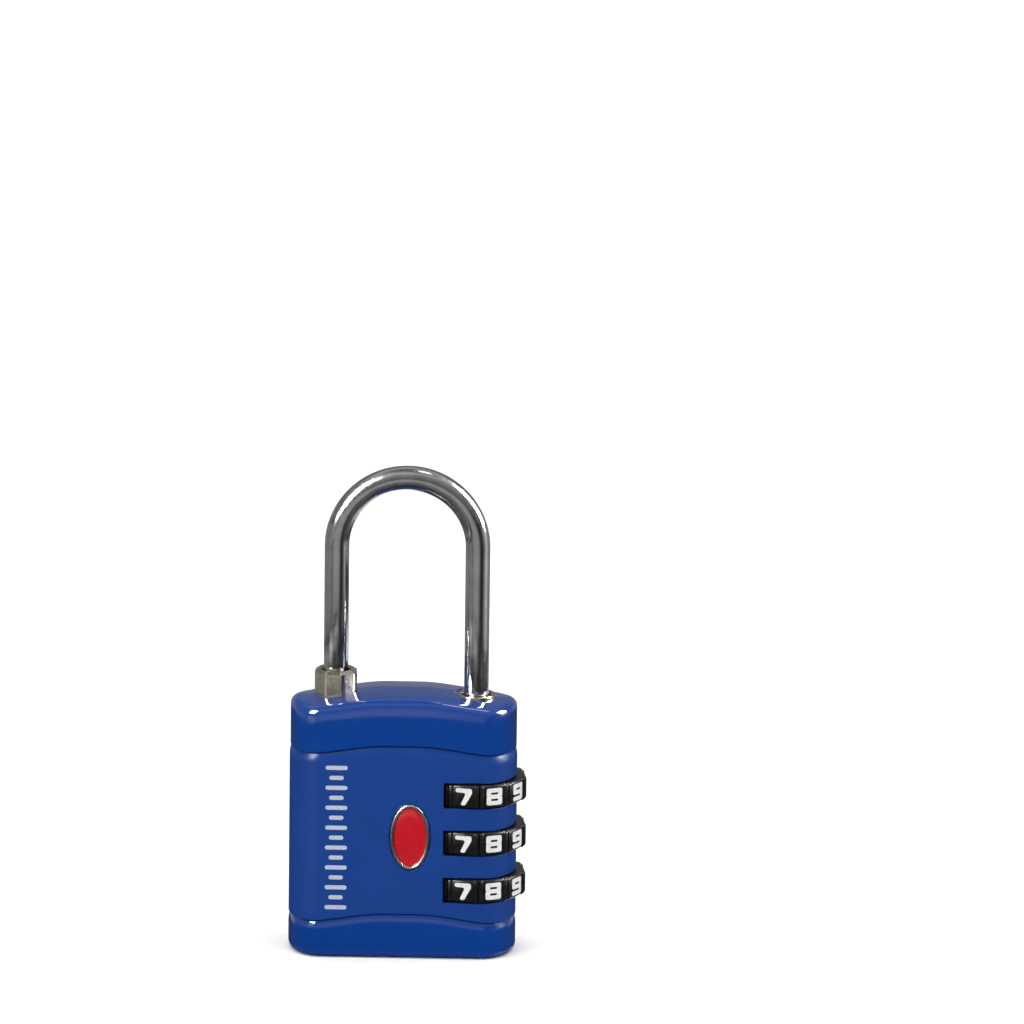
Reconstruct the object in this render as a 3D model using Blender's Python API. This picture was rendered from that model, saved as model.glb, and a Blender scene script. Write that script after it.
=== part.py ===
"""Three-dial luggage padlock with a steel shackle and a master-key cylinder, as separate solids.

The lock stands upright on its bottom cap: +Z is up, the digits are read from -Y, and the dials stick
out at +X. The origin is the middle of the bottom face. Lengths are in millimetres everywhere below;
mesh_object and place turn them into Blender's metres.
"""

from math import acos, cos, degrees, pi, radians, sin, sqrt

import bmesh
import bpy
from mathutils import Matrix, Vector

MM = 0.001
GAP = 0.3  # clearance between neighbouring pieces
PAST = 1.0  # how far a cutter runs past the face that it cuts

# Body outline seen from above: flat front and rear, with a half ellipse at each side
HALF_WIDTH = 15.0
HALF_DEPTH = 6.2
FLAT_HALF = 10.6
WALL = 1.3
SIDE_STEPS = 6  # facets in each quarter of a side
FLAT_STEPS = 8  # facets along the front

# Heights of the body at x = 0, and the shallow arch that its top and both seams follow
TOP_SEAM = 28.9
BOTTOM_SEAM = 6.05
BODY_TOP = 35.4
ARCH_FLAT = 2.0
ARCH_RUN = 11.5
ARCH_DROP = 1.2

# Edge radii
BASE_EDGE = 1.0
SEAM_EDGE = 0.7
TOP_FRONT_EDGE = 1.1
TOP_REAR_EDGE = 2.6
EDGE_STEPS = 3

# Shackle
WIRE_R = 1.62
SHORT_X = -9.0
LONG_X = 9.5
ARCH_CENTRE_Z = 54.5
TOE_END = 29.4
LONG_END = 3.4
LIFT = 9.0
LEG_BORE_R = WIRE_R + GAP
WIRE_SIDES = 16
BEND_STEPS = 16
FIN_R = 2.4
FIN_WIDTH = 1.2
FIN_HEIGHT = 1.2
LEG_CHAMFER = 0.4

# Dials, counted from the top, on the long leg
DIAL_NAMES = ("1", "2", "3")
DIAL_TOP_Z = 22.3
DIAL_PITCH = 6.45
DIAL_HEIGHT = 3.1
DIAL_FACE_R = 6.65
DIAL_RIDGE_R = 6.9
DIAL_BORE_R = 3.7
DIAL_NOTCH_R = 4.5
DIAL_NOTCH_WIDTH = 1.5
DIAL_BEVEL = 0.25
DIGITS = 10
FIRST_DIGIT_ANGLE = -102.0  # a digit's middle, from +X towards +Y, in degrees
WINDOW_HEIGHT = 3.42
WINDOW_START_X = 5.5
RELIEF_STEPS = 10
DIAL_ROOM_R = 7.3
DIAL_ROOM_HEIGHT = 3.7

# Sleeves inside the dials
SLEEVE_R = 3.4
SLEEVE_BORE_R = 2.75
SLEEVE_HEIGHT = DIAL_PITCH - GAP
LUG_R = 4.2
LUG_WIDTH = 0.9
LUG_HEIGHT = 0.8
SLEEVE_PUSH = 1.3  # travel when the shackle is pressed down to change the code
STACK_ROOM = 0.5  # between the sleeves and the bore round them
STACK_R = SLEEVE_R + STACK_ROOM
STACK_FLOOR = 2.6
STACK_CEILING = 25.7
FIN_CEILING = 31.5
FIN_STOP = 0.1  # left above the top fin when the shackle is fully lifted
FIN_TOP_Z = FIN_CEILING - LIFT - FIN_STOP
SPRING_WIRE_R = 0.22
SPRING_TURNS = 3.0

# Leaf that clicks in the dials' grooves
DETENT_CLEARANCE = 0.5  # from its bumps' foot to the dials
DETENT_HALF_Y = 2.2
DETENT_Z = (5.9, 25.3)
DETENT_BUMP_R = 0.45
DETENT_BUMP_STEPS = 6
DETENT_FLEX_ROOM = 0.6

# Chassis that holds the works
SHELL_ROOM = 0.35
CHASSIS_INSET = WALL + SHELL_ROOM
CHASSIS_BOTTOM = 1.75
CHASSIS_TOP = 32.5
FLOOR_TOP = 1.4
CEILING = BODY_TOP - WALL

# Key cylinder under the short leg
KEY_X = -6.5
PLUG_R = 2.8
PLUG_EDGE = 0.2
PLUG_BOTTOM = 0.4
PLUG_TOP = 12.7
BARREL_IN_R = PLUG_R + GAP
BARREL_OUT_R = 3.8
BARREL_BOTTOM = 1.9
BARREL_TOP = 12.6
TAIL_R = 1.1
CAM_R = 2.6
CAM_BOTTOM = 13.0
CAM_TOP = 14.2
DRIVE_R = 2.0  # distance of the drive pin from the key's axis
DRIVE_PIN_R = 0.5
DRIVE_ANGLE = 135.0  # the pin at rest; it sweeps 90 degrees clockwise
KEYWAY_WIDTH = 1.0
KEYWAY_LENGTH = 4.4
WAFER_FIRST_Z = 3.2
WAFER_PITCH = 2.0
WAFER_HEIGHT = 0.6
WAFERS = 4
WAFER_HALF = (1.25, 2.25)
WAFER_SLOT_HALF = (1.6, 2.6)
WAFER_WINDOW_HALF = (0.65, 1.4)
WAFER_STEP = 0.2  # how much further up each window sits than the last

# Release slide, driven by the cam, which holds the short leg
SLIDE_TRAVEL = DRIVE_R * sqrt(2.0)
SLIDE_FOOT_Z = (14.6, 15.6)
SLIDE_TIP_Z = (30.2, 31.4)
SLIDE_FOOT_Y = (-1.0, 3.5)
SLIDE_UPRIGHT_Y = (-1.0, 0.4)
SLIDE_FOOT_MARGIN = 1.6  # of the foot to the left of the drive pin
SLIDE_WIDTH = 2.1
TOE_FLAT_X = SHORT_X + 1.1
SLIDE_TIP_X = TOE_FLAT_X + GAP

# Collar and bush in the top cap
COLLAR_FLATS = 5.45
COLLAR_TOP = 37.9
COLLAR_CHAMFER = 0.5
COLLAR_CHAMFER_RISE = 0.35
COLLAR_LEAD = 0.25
COLLAR_TURN = 22.5 - 3.5
BUSH_R = 2.6
BUSH_TOP = 34.75
BUSH_EDGE = 0.2
FITTING_BOTTOM = 32.85

# Badge on the front panel
BADGE_X = 1.1
BADGE_Z = 16.6
BADGE_HALF = (2.6, 4.45)
BADGE_RIM = 0.45
BADGE_RECESS = 0.9
BADGE_STEPS = 28
BADGE_PROUD = 0.2
BADGE_RIM_PROFILE = ((1.0, 0.05), (0.95, BADGE_PROUD))  # share of its size, height off the panel
BADGE_DOME_PROFILE = ((1.0, 0.0), (0.85, 0.2), (0.5, 0.35))

# Screws that hold the chassis halves together: x and z of each
SCREWS = ((-11.0, 26.0), (-11.0, 17.5), (-0.8, 28.2), (1.2, 4.0))
SCREW_HEAD_R = 1.35
SCREW_SHANK_R = 0.8
SCREW_HEAD_Y = (3.3, 4.2)
SCREW_END_Y = -3.4
SCREW_DRIVE = (0.5, 0.4)  # radius and depth of the dimple in the head
SCREW_EDGE = 0.2
SCREW_POINT = 0.4


# ---------------------------------------------------------------- materials

def material(name, colour, roughness, metallic=0.0):
    made = bpy.data.materials.new(name)
    made.use_nodes = True
    shader = made.node_tree.nodes["Principled BSDF"]
    shader.inputs["Base Color"].default_value = (*colour, 1.0)
    shader.inputs["Roughness"].default_value = roughness
    shader.inputs["Metallic"].default_value = metallic
    return made


def make_materials():
    return {
        "gloss_blue": material("gloss_blue", (0.006, 0.062, 0.32), 0.15),
        "satin_blue": material("satin_blue", (0.012, 0.07, 0.31), 0.42),
        "dial_black": material("dial_black", (0.012, 0.012, 0.013), 0.35),
        "steel": material("steel", (0.62, 0.62, 0.63), 0.12, 1.0),
        "nickel": material("nickel", (0.66, 0.62, 0.54), 0.18, 1.0),
        "zinc": material("zinc", (0.42, 0.43, 0.45), 0.45, 0.9),
        "brass": material("brass", (0.72, 0.52, 0.24), 0.3, 1.0),
        "spring_steel": material("spring_steel", (0.45, 0.45, 0.47), 0.3, 1.0),
        "silver": material("silver", (0.75, 0.76, 0.78), 0.25, 0.9),
        "badge_red": material("badge_red", (0.55, 0.005, 0.012), 0.12),
    }


# ---------------------------------------------------------------- mesh helpers

def mesh_object(name, bm, finish=None, smooth_angle=35.0):
    """An object from a bmesh built in millimetres."""
    bmesh.ops.scale(bm, vec=(MM, MM, MM), verts=bm.verts)
    mesh = bpy.data.meshes.new(name)
    bm.to_mesh(mesh)
    bm.free()
    mesh.shade_smooth()
    mesh.set_sharp_from_angle(angle=radians(smooth_angle))
    obj = bpy.data.objects.new(name, mesh)
    bpy.context.scene.collection.objects.link(obj)
    if finish is not None:
        mesh.materials.append(finish)
    return obj


def place(obj, x=0.0, y=0.0, z=0.0):
    obj.location = Vector((x, y, z)) * MM
    return obj


def as_cutter(obj):
    obj.hide_render = True
    obj.display_type = "WIRE"
    return obj


def boolean(obj, other, operation="DIFFERENCE"):
    modifier = obj.modifiers.new(f"{operation.lower()}_{other.name}", "BOOLEAN")
    modifier.operation = operation
    modifier.solver = "EXACT"
    modifier.object = other


def add_rings(bm, rings, closed=False):
    """Quads between rings of the same number of points, each anticlockwise seen from above."""
    rows = [[bm.verts.new(point) for point in ring] for ring in rings]
    pairs = list(zip(rows, rows[1:]))
    if closed:
        pairs.append((rows[-1], rows[0]))
    for low, high in pairs:
        count = len(low)
        for i in range(count):
            j = (i + 1) % count
            bm.faces.new((low[i], low[j], high[j], high[i]))
    return rows


def lathe(bm, profile, steps=24, centre=(0.0, 0.0)):
    """Turns (radius, z) points about a vertical axis. A profile that starts and ends on the axis is a
    solid one; any other is closed into a ring. It runs up the outer side."""
    solid = profile[0][0] == 0.0
    turned = profile[1:-1] if solid else profile
    rings = [
        [
            (centre[0] + r * cos(2 * pi * i / steps), centre[1] + r * sin(2 * pi * i / steps), z)
            for i in range(steps)
        ]
        for r, z in turned
    ]
    rows = add_rings(bm, rings, closed=not solid)
    if solid:
        bm.faces.new(reversed(rows[0]))
        bm.faces.new(rows[-1])
    return bm


def prism(bm, outline, low, high):
    """A straight prism on an anticlockwise outline."""
    rings = [[(x, y, z) for x, y in outline] for z in (low, high)]
    rows = add_rings(bm, rings)
    bm.faces.new(reversed(rows[0]))
    bm.faces.new(rows[1])
    return bm


def box(bm, x, y, z):
    outline = ((x[0], y[0]), (x[1], y[0]), (x[1], y[1]), (x[0], y[1]))
    return prism(bm, outline, z[0], z[1])


def box_cutter(name, *boxes):
    bm = bmesh.new()
    for x, y, z in boxes:
        box(bm, x, y, z)
    return as_cutter(mesh_object(name, bm))


def lathe_cutter(name, profile, steps=24, centre=(0.0, 0.0)):
    return as_cutter(mesh_object(name, lathe(bmesh.new(), profile, steps, centre)))


def ellipse(half_x, half_y, steps):
    return [
        (half_x * cos(2 * pi * i / steps), half_y * sin(2 * pi * i / steps)) for i in range(steps)
    ]


def face_forwards(bm):
    """Turns what was built upright so that its +Z side faces the front, -Y, and its +Y side is up."""
    bmesh.ops.rotate(bm, verts=bm.verts, matrix=Matrix.Rotation(radians(90.0), 3, "X"))
    return bm


# ---------------------------------------------------------------- body outline

def smoothstep(t):
    t = min(max(t, 0.0), 1.0)
    return t * t * (3.0 - 2.0 * t)


def arch(x):
    """How far the top and the seams have dropped at x, below their height in the middle."""
    return ARCH_DROP * smoothstep((abs(x) - ARCH_FLAT) / ARCH_RUN)


def front_outline(inset=0.0):
    """The front half of the plan outline, from its left end to its right end."""
    side = [
        (
            FLAT_HALF + (HALF_WIDTH - FLAT_HALF - inset) * cos(radians(90.0) * k / SIDE_STEPS),
            -(HALF_DEPTH - inset) * sin(radians(90.0) * k / SIDE_STEPS),
        )
        for k in range(SIDE_STEPS + 1)
    ]
    flat = [
        (FLAT_HALF * (2.0 * k / FLAT_STEPS - 1.0), -(HALF_DEPTH - inset))
        for k in range(1, FLAT_STEPS)
    ]
    return [(-x, y) for x, y in side] + flat + side[::-1]


def body_ring(inset, height, follow_arch=True):
    """A closed ring at this inset and height. Either may be a function of the outline's own y, and
    the height drops along the arch."""
    inset_at = inset if callable(inset) else lambda y: inset
    height_at = height if callable(height) else lambda y: height
    outer = front_outline()
    outer += [(x, -y) for x, y in outer[-2:0:-1]]
    points = []
    for x, y in outer:
        inwards = inset_at(y)
        side_x = max(abs(x) - FLAT_HALF, 0.0)
        scale_x = (HALF_WIDTH - FLAT_HALF - inwards) / (HALF_WIDTH - FLAT_HALF)
        px = (min(abs(x), FLAT_HALF) + side_x * scale_x) * (1.0 if x > 0.0 else -1.0)
        py = y * (HALF_DEPTH - inwards) / HALF_DEPTH
        points.append((px, py, height_at(y) - (arch(px) if follow_arch else 0.0)))
    return points


def cap_ring(bm, row, up):
    """Closes a ring with strips that run from front to rear, so that they follow the arch."""
    half = len(row) // 2
    front = row[: half + 1]
    rear = [row[0]] + row[:half - 1:-1]
    for i in range(half):
        corners = [front[i], front[i + 1], rear[i + 1], rear[i]]
        unique = list(dict.fromkeys(corners))
        bm.faces.new(unique if up else unique[::-1])


def rolled(inset, level, radius, upper):
    """Insets and heights round an edge. An upper edge rolls in as it rises to the level, and a
    lower one rolls out as it leaves it."""
    steps = []
    for k in range(EDGE_STEPS + 1):
        angle = radians(90.0) * k / EDGE_STEPS
        if upper:
            steps.append((inset + radius * (1.0 - cos(angle)), level - radius * (1.0 - sin(angle))))
        else:
            steps.append((inset + radius * (1.0 - sin(angle)), level + radius * (1.0 - cos(angle))))
    return steps


def top_edge_rings():
    """The top cap's rolled edge, tighter along the front than along the rear."""
    def radius(y):
        return TOP_FRONT_EDGE + (TOP_REAR_EDGE - TOP_FRONT_EDGE) * smoothstep(y / HALF_DEPTH)

    rings = []
    for k in range(EDGE_STEPS + 2):
        angle = radians(90.0) * k / (EDGE_STEPS + 1)
        rings.append(
            body_ring(
                lambda y, a=angle: radius(y) * (1.0 - cos(a)),
                lambda y, a=angle: BODY_TOP - radius(y) * (1.0 - sin(a)),
            )
        )
    return rings


# ---------------------------------------------------------------- cutters

def half_cutters():
    """Boxes that leave the front half or the rear half of a piece, with a gap between them."""
    wide = (-HALF_WIDTH - PAST, HALF_WIDTH + PAST)
    tall = (-PAST, BODY_TOP + PAST)
    deep = HALF_DEPTH + PAST
    return {
        "front": box_cutter("rear_half_cutter", (wide, (-GAP / 2, deep), tall)),
        "rear": box_cutter("front_half_cutter", (wide, (-deep, GAP / 2), tall)),
    }


def dial_heights():
    return [DIAL_TOP_Z - i * DIAL_PITCH for i in range(len(DIAL_NAMES))]


def octagon(flats):
    radius = flats / 2 / cos(pi / 8)
    return [
        (radius * cos(radians(COLLAR_TURN + 45.0 * i)), radius * sin(radians(COLLAR_TURN + 45.0 * i)))
        for i in range(8)
    ]


def collar_cutter():
    outline = [(SHORT_X + x, y) for x, y in octagon(COLLAR_FLATS + 2 * GAP)]
    return as_cutter(
        mesh_object("collar_cutter", prism(bmesh.new(), outline, CHASSIS_TOP, COLLAR_TOP))
    )


def bush_cutter():
    radius = BUSH_R + GAP
    profile = ((0, CHASSIS_TOP), (radius, CHASSIS_TOP), (radius, COLLAR_TOP), (0, COLLAR_TOP))
    return lathe_cutter("bush_cutter", profile, centre=(LONG_X, 0.0))


def window_cutter():
    """Openings for the dials, from the front face round the right side to the rear. Behind the face
    they follow the dials a little further to the left."""
    reach = HALF_DEPTH + PAST
    relief = DIAL_RIDGE_R + GAP
    outline = [(WINDOW_START_X, -reach), (HALF_WIDTH + PAST, -reach)]
    outline += [(x, -y) for x, y in reversed(outline)]
    start = degrees(acos((WINDOW_START_X - LONG_X) / relief))
    for k in range(RELIEF_STEPS + 1):
        angle = radians(start + (360.0 - 2 * start) * k / RELIEF_STEPS)
        outline.append((LONG_X + relief * cos(angle), relief * sin(angle)))
    bm = bmesh.new()
    for z in dial_heights():
        prism(bm, outline, z - WINDOW_HEIGHT / 2, z + WINDOW_HEIGHT / 2)
    return as_cutter(mesh_object("window_cutter", bm))


def badge_cutter():
    half_x, half_z = (size + GAP for size in BADGE_HALF)
    bm = prism(bmesh.new(), ellipse(half_x, half_z, BADGE_STEPS), HALF_DEPTH - BADGE_RECESS, HALF_DEPTH + PAST)
    cutter = as_cutter(mesh_object("badge_cutter", face_forwards(bm)))
    return place(cutter, BADGE_X, 0.0, BADGE_Z)


def stack_cutter():
    """The stepped bore for the long leg, the sleeves and their lugs."""
    lug_room = LUG_R + GAP
    profile = [(0, STACK_FLOOR), (STACK_R, STACK_FLOOR)]
    for z in reversed(dial_heights()):
        room_floor = z - DIAL_ROOM_HEIGHT / 2
        profile += [
            (STACK_R, room_floor - SLEEVE_PUSH),
            (lug_room, room_floor - SLEEVE_PUSH),
            (lug_room, room_floor + PAST),
            (STACK_R, room_floor + PAST),
        ]
    profile += [
        (STACK_R, STACK_CEILING),
        (SLEEVE_BORE_R, STACK_CEILING),
        (SLEEVE_BORE_R, FIN_CEILING),
        (LEG_BORE_R, FIN_CEILING),
        (LEG_BORE_R, CHASSIS_TOP + PAST),
        (0, CHASSIS_TOP + PAST),
    ]
    return lathe_cutter("stack_cutter", profile, centre=(LONG_X, 0.0))


def dial_room_cutter():
    bm = bmesh.new()
    for z in dial_heights():
        low, high = z - DIAL_ROOM_HEIGHT / 2, z + DIAL_ROOM_HEIGHT / 2
        profile = ((0, low), (DIAL_ROOM_R, low), (DIAL_ROOM_R, high), (0, high))
        lathe(bm, profile, 32, (LONG_X, 0.0))
    return as_cutter(mesh_object("dial_room_cutter", bm))


def barrel_cutter():
    outer = BARREL_OUT_R + GAP
    cam_room = DRIVE_R + DRIVE_PIN_R + 2 * GAP
    profile = (
        (0, CHASSIS_BOTTOM - PAST),
        (outer, CHASSIS_BOTTOM - PAST),
        (outer, BARREL_TOP + GAP),
        (cam_room, BARREL_TOP + GAP),
        (cam_room, SLIDE_FOOT_Z[0]),
        (0, SLIDE_FOOT_Z[0]),
    )
    return lathe_cutter("barrel_cutter", profile, centre=(KEY_X, 0.0))


def toe_cutter():
    low, high = TOE_END - GAP, CHASSIS_TOP + PAST
    profile = ((0, low), (LEG_BORE_R, low), (LEG_BORE_R, high), (0, high))
    return lathe_cutter("toe_cutter", profile, 16, (SHORT_X, 0.0))


def slide_cutter():
    foot, upright = slide_boxes()
    right = foot[0][1] + SLIDE_TRAVEL + GAP
    low = box_cutter(
        "slide_foot_cutter",
        (
            (foot[0][0] - GAP, right),
            (foot[1][0] - GAP, foot[1][1] + GAP),
            (CAM_TOP - GAP, foot[2][1] + GAP),
        ),
    )
    high = box_cutter(
        "slide_upright_cutter",
        (
            (SLIDE_TIP_X, right),
            (upright[1][0] - GAP, upright[1][1] + GAP),
            (foot[2][0], SLIDE_TIP_Z[1] + GAP),
        ),
    )
    return low, high


def detent_cutter():
    x_low, x_high, half_y, z_low, z_high = detent_size()
    return box_cutter(
        "detent_cutter",
        (
            (x_low - GAP, x_high + DETENT_FLEX_ROOM),
            (-half_y - GAP, half_y + GAP),
            (z_low - GAP, z_high + GAP),
        ),
    )


def screw_cutters():
    """Stepped holes from the rear, one cutter for all four, built lying down."""
    bm = bmesh.new()
    head, shank = SCREW_HEAD_R + GAP, SCREW_SHANK_R + GAP
    low, high = -HALF_DEPTH, -SCREW_END_Y + GAP
    for x, z in SCREWS:
        # The lathe's height is the hole's depth: it becomes -Y when the cutter is turned to the front.
        profile = (
            (0, low),
            (head, low),
            (head, -SCREW_HEAD_Y[0] + GAP),
            (shank, -SCREW_HEAD_Y[0] + GAP),
            (shank, high),
            (0, high),
        )
        lathe(bm, profile, 16, (x, z))
    return as_cutter(mesh_object("screw_cutter", face_forwards(bm)))


# ---------------------------------------------------------------- shells

def top_cap_blank(name, finish):
    inner = [body_ring(WALL, CEILING), body_ring(WALL, TOP_SEAM + GAP / 2)]
    outer = [
        body_ring(inset, level)
        for inset, level in rolled(0.0, TOP_SEAM + GAP / 2, GAP / 2, upper=False)[::EDGE_STEPS]
    ]
    bm = bmesh.new()
    rows = add_rings(bm, inner + outer + top_edge_rings())
    cap_ring(bm, rows[0], up=False)
    cap_ring(bm, rows[-1], up=True)
    return mesh_object(name, bm, finish)


def panel_blank(name, finish):
    low, high = BOTTOM_SEAM + GAP / 2, TOP_SEAM - GAP / 2
    profile = rolled(0.0, low, GAP / 2, upper=False)[::EDGE_STEPS]
    profile += rolled(0.0, high, SEAM_EDGE, upper=True)
    profile += [(WALL, high), (WALL, low)]
    bm = bmesh.new()
    add_rings(bm, [body_ring(inset, level) for inset, level in profile], closed=True)
    return mesh_object(name, bm, finish)


def bottom_cap(finish):
    high = BOTTOM_SEAM - GAP / 2
    floor_edge = rolled(0.0, 0.0, BASE_EDGE, upper=False)
    lower = [body_ring(inset, level, follow_arch=False) for inset, level in floor_edge]
    upper = [body_ring(inset, level) for inset, level in rolled(0.0, high, SEAM_EDGE, upper=True)]
    inner = [body_ring(WALL, high), body_ring(WALL, FLOOR_TOP, follow_arch=False)]
    bm = bmesh.new()
    rows = add_rings(bm, lower + upper + inner)
    cap_ring(bm, rows[0], up=False)
    cap_ring(bm, rows[-1], up=True)
    cap = mesh_object("bottom_cap", bm, finish)
    radius = PLUG_R + GAP
    profile = ((0, -PAST), (radius, -PAST), (radius, FLOOR_TOP + PAST), (0, FLOOR_TOP + PAST))
    boolean(cap, lathe_cutter("keyhole_cutter", profile, centre=(KEY_X, 0.0)))


def shells(finishes, halves):
    fittings = (collar_cutter(), bush_cutter())
    window = window_cutter()
    badge = badge_cutter()
    for side, half in halves.items():
        cap = top_cap_blank(f"{side}_top_cap", finishes["gloss_blue"])
        for cutter in (*fittings, half):
            boolean(cap, cutter)
        panel = panel_blank(f"{side}_panel", finishes["satin_blue"])
        for cutter in (window, half):
            boolean(panel, cutter)
        if side == "front":
            boolean(panel, badge)
    bottom_cap(finishes["gloss_blue"])


def chassis(finishes, halves):
    """Two cast halves that clamp the works between them."""
    cutters = (
        dial_room_cutter(),
        stack_cutter(),
        barrel_cutter(),
        toe_cutter(),
        *slide_cutter(),
        detent_cutter(),
        screw_cutters(),
    )
    for side, half in halves.items():
        rings = [
            body_ring(CHASSIS_INSET, level, follow_arch=False)
            for level in (CHASSIS_BOTTOM, CHASSIS_TOP)
        ]
        bm = bmesh.new()
        rows = add_rings(bm, rings)
        cap_ring(bm, rows[0], up=False)
        cap_ring(bm, rows[1], up=True)
        block = mesh_object(f"{side}_chassis", bm, finishes["zinc"])
        for cutter in (half, *cutters):
            boolean(block, cutter)


# ---------------------------------------------------------------- shackle and its fittings

def shackle_path():
    """Points along the wire, with the direction it runs in, from the long leg's end to the toe."""
    radius = (LONG_X - SHORT_X) / 2
    middle = (LONG_X + SHORT_X) / 2
    path = [((LONG_X, LONG_END), 90.0)]
    for k in range(BEND_STEPS + 1):
        angle = 180.0 * k / BEND_STEPS
        point = (
            middle + radius * cos(radians(angle)),
            ARCH_CENTRE_Z + radius * sin(radians(angle)),
        )
        path.append((point, angle + 90.0))
    path.append(((SHORT_X, TOE_END), 270.0))
    return path


def wire_ring(point, heading, radius, along=0.0):
    """A ring round the wire at a point of the path, moved along it."""
    forward = Vector((cos(radians(heading)), 0.0, sin(radians(heading))))
    side = Vector((sin(radians(heading)), 0.0, -cos(radians(heading))))
    centre = Vector((point[0], 0.0, point[1])) + forward * along
    return [
        centre
        + side * radius * cos(2 * pi * (i + 0.5) / WIRE_SIDES)
        + Vector((0.0, 1.0, 0.0)) * radius * sin(2 * pi * (i + 0.5) / WIRE_SIDES)
        for i in range(WIRE_SIDES)
    ]


def shackle(finish):
    path = shackle_path()
    end_r = WIRE_R - LEG_CHAMFER
    rings = [wire_ring(*path[0], end_r), wire_ring(*path[0], WIRE_R, LEG_CHAMFER)]
    rings += [wire_ring(*step, WIRE_R) for step in path[1:-1]]
    rings += [wire_ring(*path[-1], WIRE_R, -LEG_CHAMFER), wire_ring(*path[-1], end_r)]
    bm = bmesh.new()
    rows = add_rings(bm, rings)
    bm.faces.new(reversed(rows[0]))
    bm.faces.new(rows[-1])
    bow = mesh_object("shackle", bm, finish)

    fins = bmesh.new()
    for i in range(len(DIAL_NAMES)):
        top = FIN_TOP_Z - i * DIAL_PITCH
        y = (-FIN_WIDTH / 2, FIN_WIDTH / 2)
        box(fins, (LONG_X + WIRE_R / 2, LONG_X + FIN_R), y, (top - FIN_HEIGHT, top))
    boolean(bow, as_cutter(mesh_object("fins", fins)), "UNION")

    flat = ((TOE_FLAT_X, SHORT_X + WIRE_R + PAST), (-WIRE_R - PAST, WIRE_R + PAST))
    boolean(bow, box_cutter("toe_flat_cutter", (*flat, (TOE_END - PAST, SLIDE_TIP_Z[1] + GAP))))


def collar_nut(finish):
    outer = octagon(COLLAR_FLATS)
    shrink = (COLLAR_FLATS - 2 * COLLAR_CHAMFER) / COLLAR_FLATS
    rings = [
        [(x, y, FITTING_BOTTOM) for x, y in outer],
        [(x, y, COLLAR_TOP - COLLAR_CHAMFER_RISE) for x, y in outer],
        [(x * shrink, y * shrink, COLLAR_TOP) for x, y in outer],
    ]
    bm = bmesh.new()
    rows = add_rings(bm, rings)
    bm.faces.new(reversed(rows[0]))
    bm.faces.new(rows[-1])
    nut = place(mesh_object("collar_nut", bm, finish, 20.0), SHORT_X)
    profile = (
        (0, FITTING_BOTTOM - PAST),
        (LEG_BORE_R, FITTING_BOTTOM - PAST),
        (LEG_BORE_R, COLLAR_TOP - COLLAR_LEAD),
        (LEG_BORE_R + COLLAR_LEAD + PAST, COLLAR_TOP + PAST),
        (0, COLLAR_TOP + PAST),
    )
    boolean(nut, lathe_cutter("collar_bore_cutter", profile, centre=(SHORT_X, 0.0)))


def leg_bush(finish):
    profile = (
        (LEG_BORE_R, BUSH_TOP - BUSH_EDGE),
        (LEG_BORE_R, FITTING_BOTTOM),
        (BUSH_R, FITTING_BOTTOM),
        (BUSH_R, BUSH_TOP - BUSH_EDGE),
        (BUSH_R - BUSH_EDGE, BUSH_TOP),
        (LEG_BORE_R + BUSH_EDGE, BUSH_TOP),
    )
    place(mesh_object("leg_bush", lathe(bmesh.new(), profile), finish), LONG_X)


# ---------------------------------------------------------------- dials

def dial_outline():
    """Outer edge: ten digit faces with a raised ridge between each two, which has a groove in it."""
    sector = 360.0 / DIGITS
    shape = (
        (-12.5, DIAL_FACE_R),
        (0.0, DIAL_FACE_R),
        (12.5, DIAL_FACE_R),
        (14.0, DIAL_RIDGE_R),
        (17.0, DIAL_RIDGE_R),
        (18.0, DIAL_FACE_R),
        (19.0, DIAL_RIDGE_R),
        (22.0, DIAL_RIDGE_R),
    )
    points = []
    for digit in range(DIGITS):
        for angle, radius in shape:
            turn = radians(FIRST_DIGIT_ANGLE + sector * digit + angle)
            points.append((radius * cos(turn), radius * sin(turn)))
    return points


def dial(name, z, finish):
    half = DIAL_HEIGHT / 2
    outer = dial_outline()
    shrink = 1.0 - DIAL_BEVEL / DIAL_RIDGE_R
    rings = [
        [(x * shrink, y * shrink, -half) for x, y in outer],
        [(x, y, -half + DIAL_BEVEL) for x, y in outer],
        [(x, y, half - DIAL_BEVEL) for x, y in outer],
        [(x * shrink, y * shrink, half) for x, y in outer],
    ]
    bm = bmesh.new()
    rows = add_rings(bm, rings)
    bm.faces.new(reversed(rows[0]))
    bm.faces.new(rows[-1])
    wheel = place(mesh_object(f"dial_{name}", bm, finish), LONG_X, 0.0, z)
    bore = place(dial_bore_cutter(name), LONG_X, 0.0, z)
    boolean(wheel, bore)


def dial_bore_cutter(name):
    """The bore, with ten notches for the sleeve's lugs."""
    half_notch = DIAL_NOTCH_WIDTH / 2
    points = []
    for digit in range(DIGITS):
        turn = radians(FIRST_DIGIT_ANGLE + 360.0 / DIGITS * digit)
        for radius, side in (
            (DIAL_BORE_R, -half_notch),
            (DIAL_NOTCH_R, -half_notch),
            (DIAL_NOTCH_R, half_notch),
            (DIAL_BORE_R, half_notch),
        ):
            points.append(
                (radius * cos(turn) - side * sin(turn), radius * sin(turn) + side * cos(turn))
            )
    bm = prism(bmesh.new(), points, -DIAL_HEIGHT, DIAL_HEIGHT)
    return as_cutter(mesh_object(f"dial_{name}_bore_cutter", bm))


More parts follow.
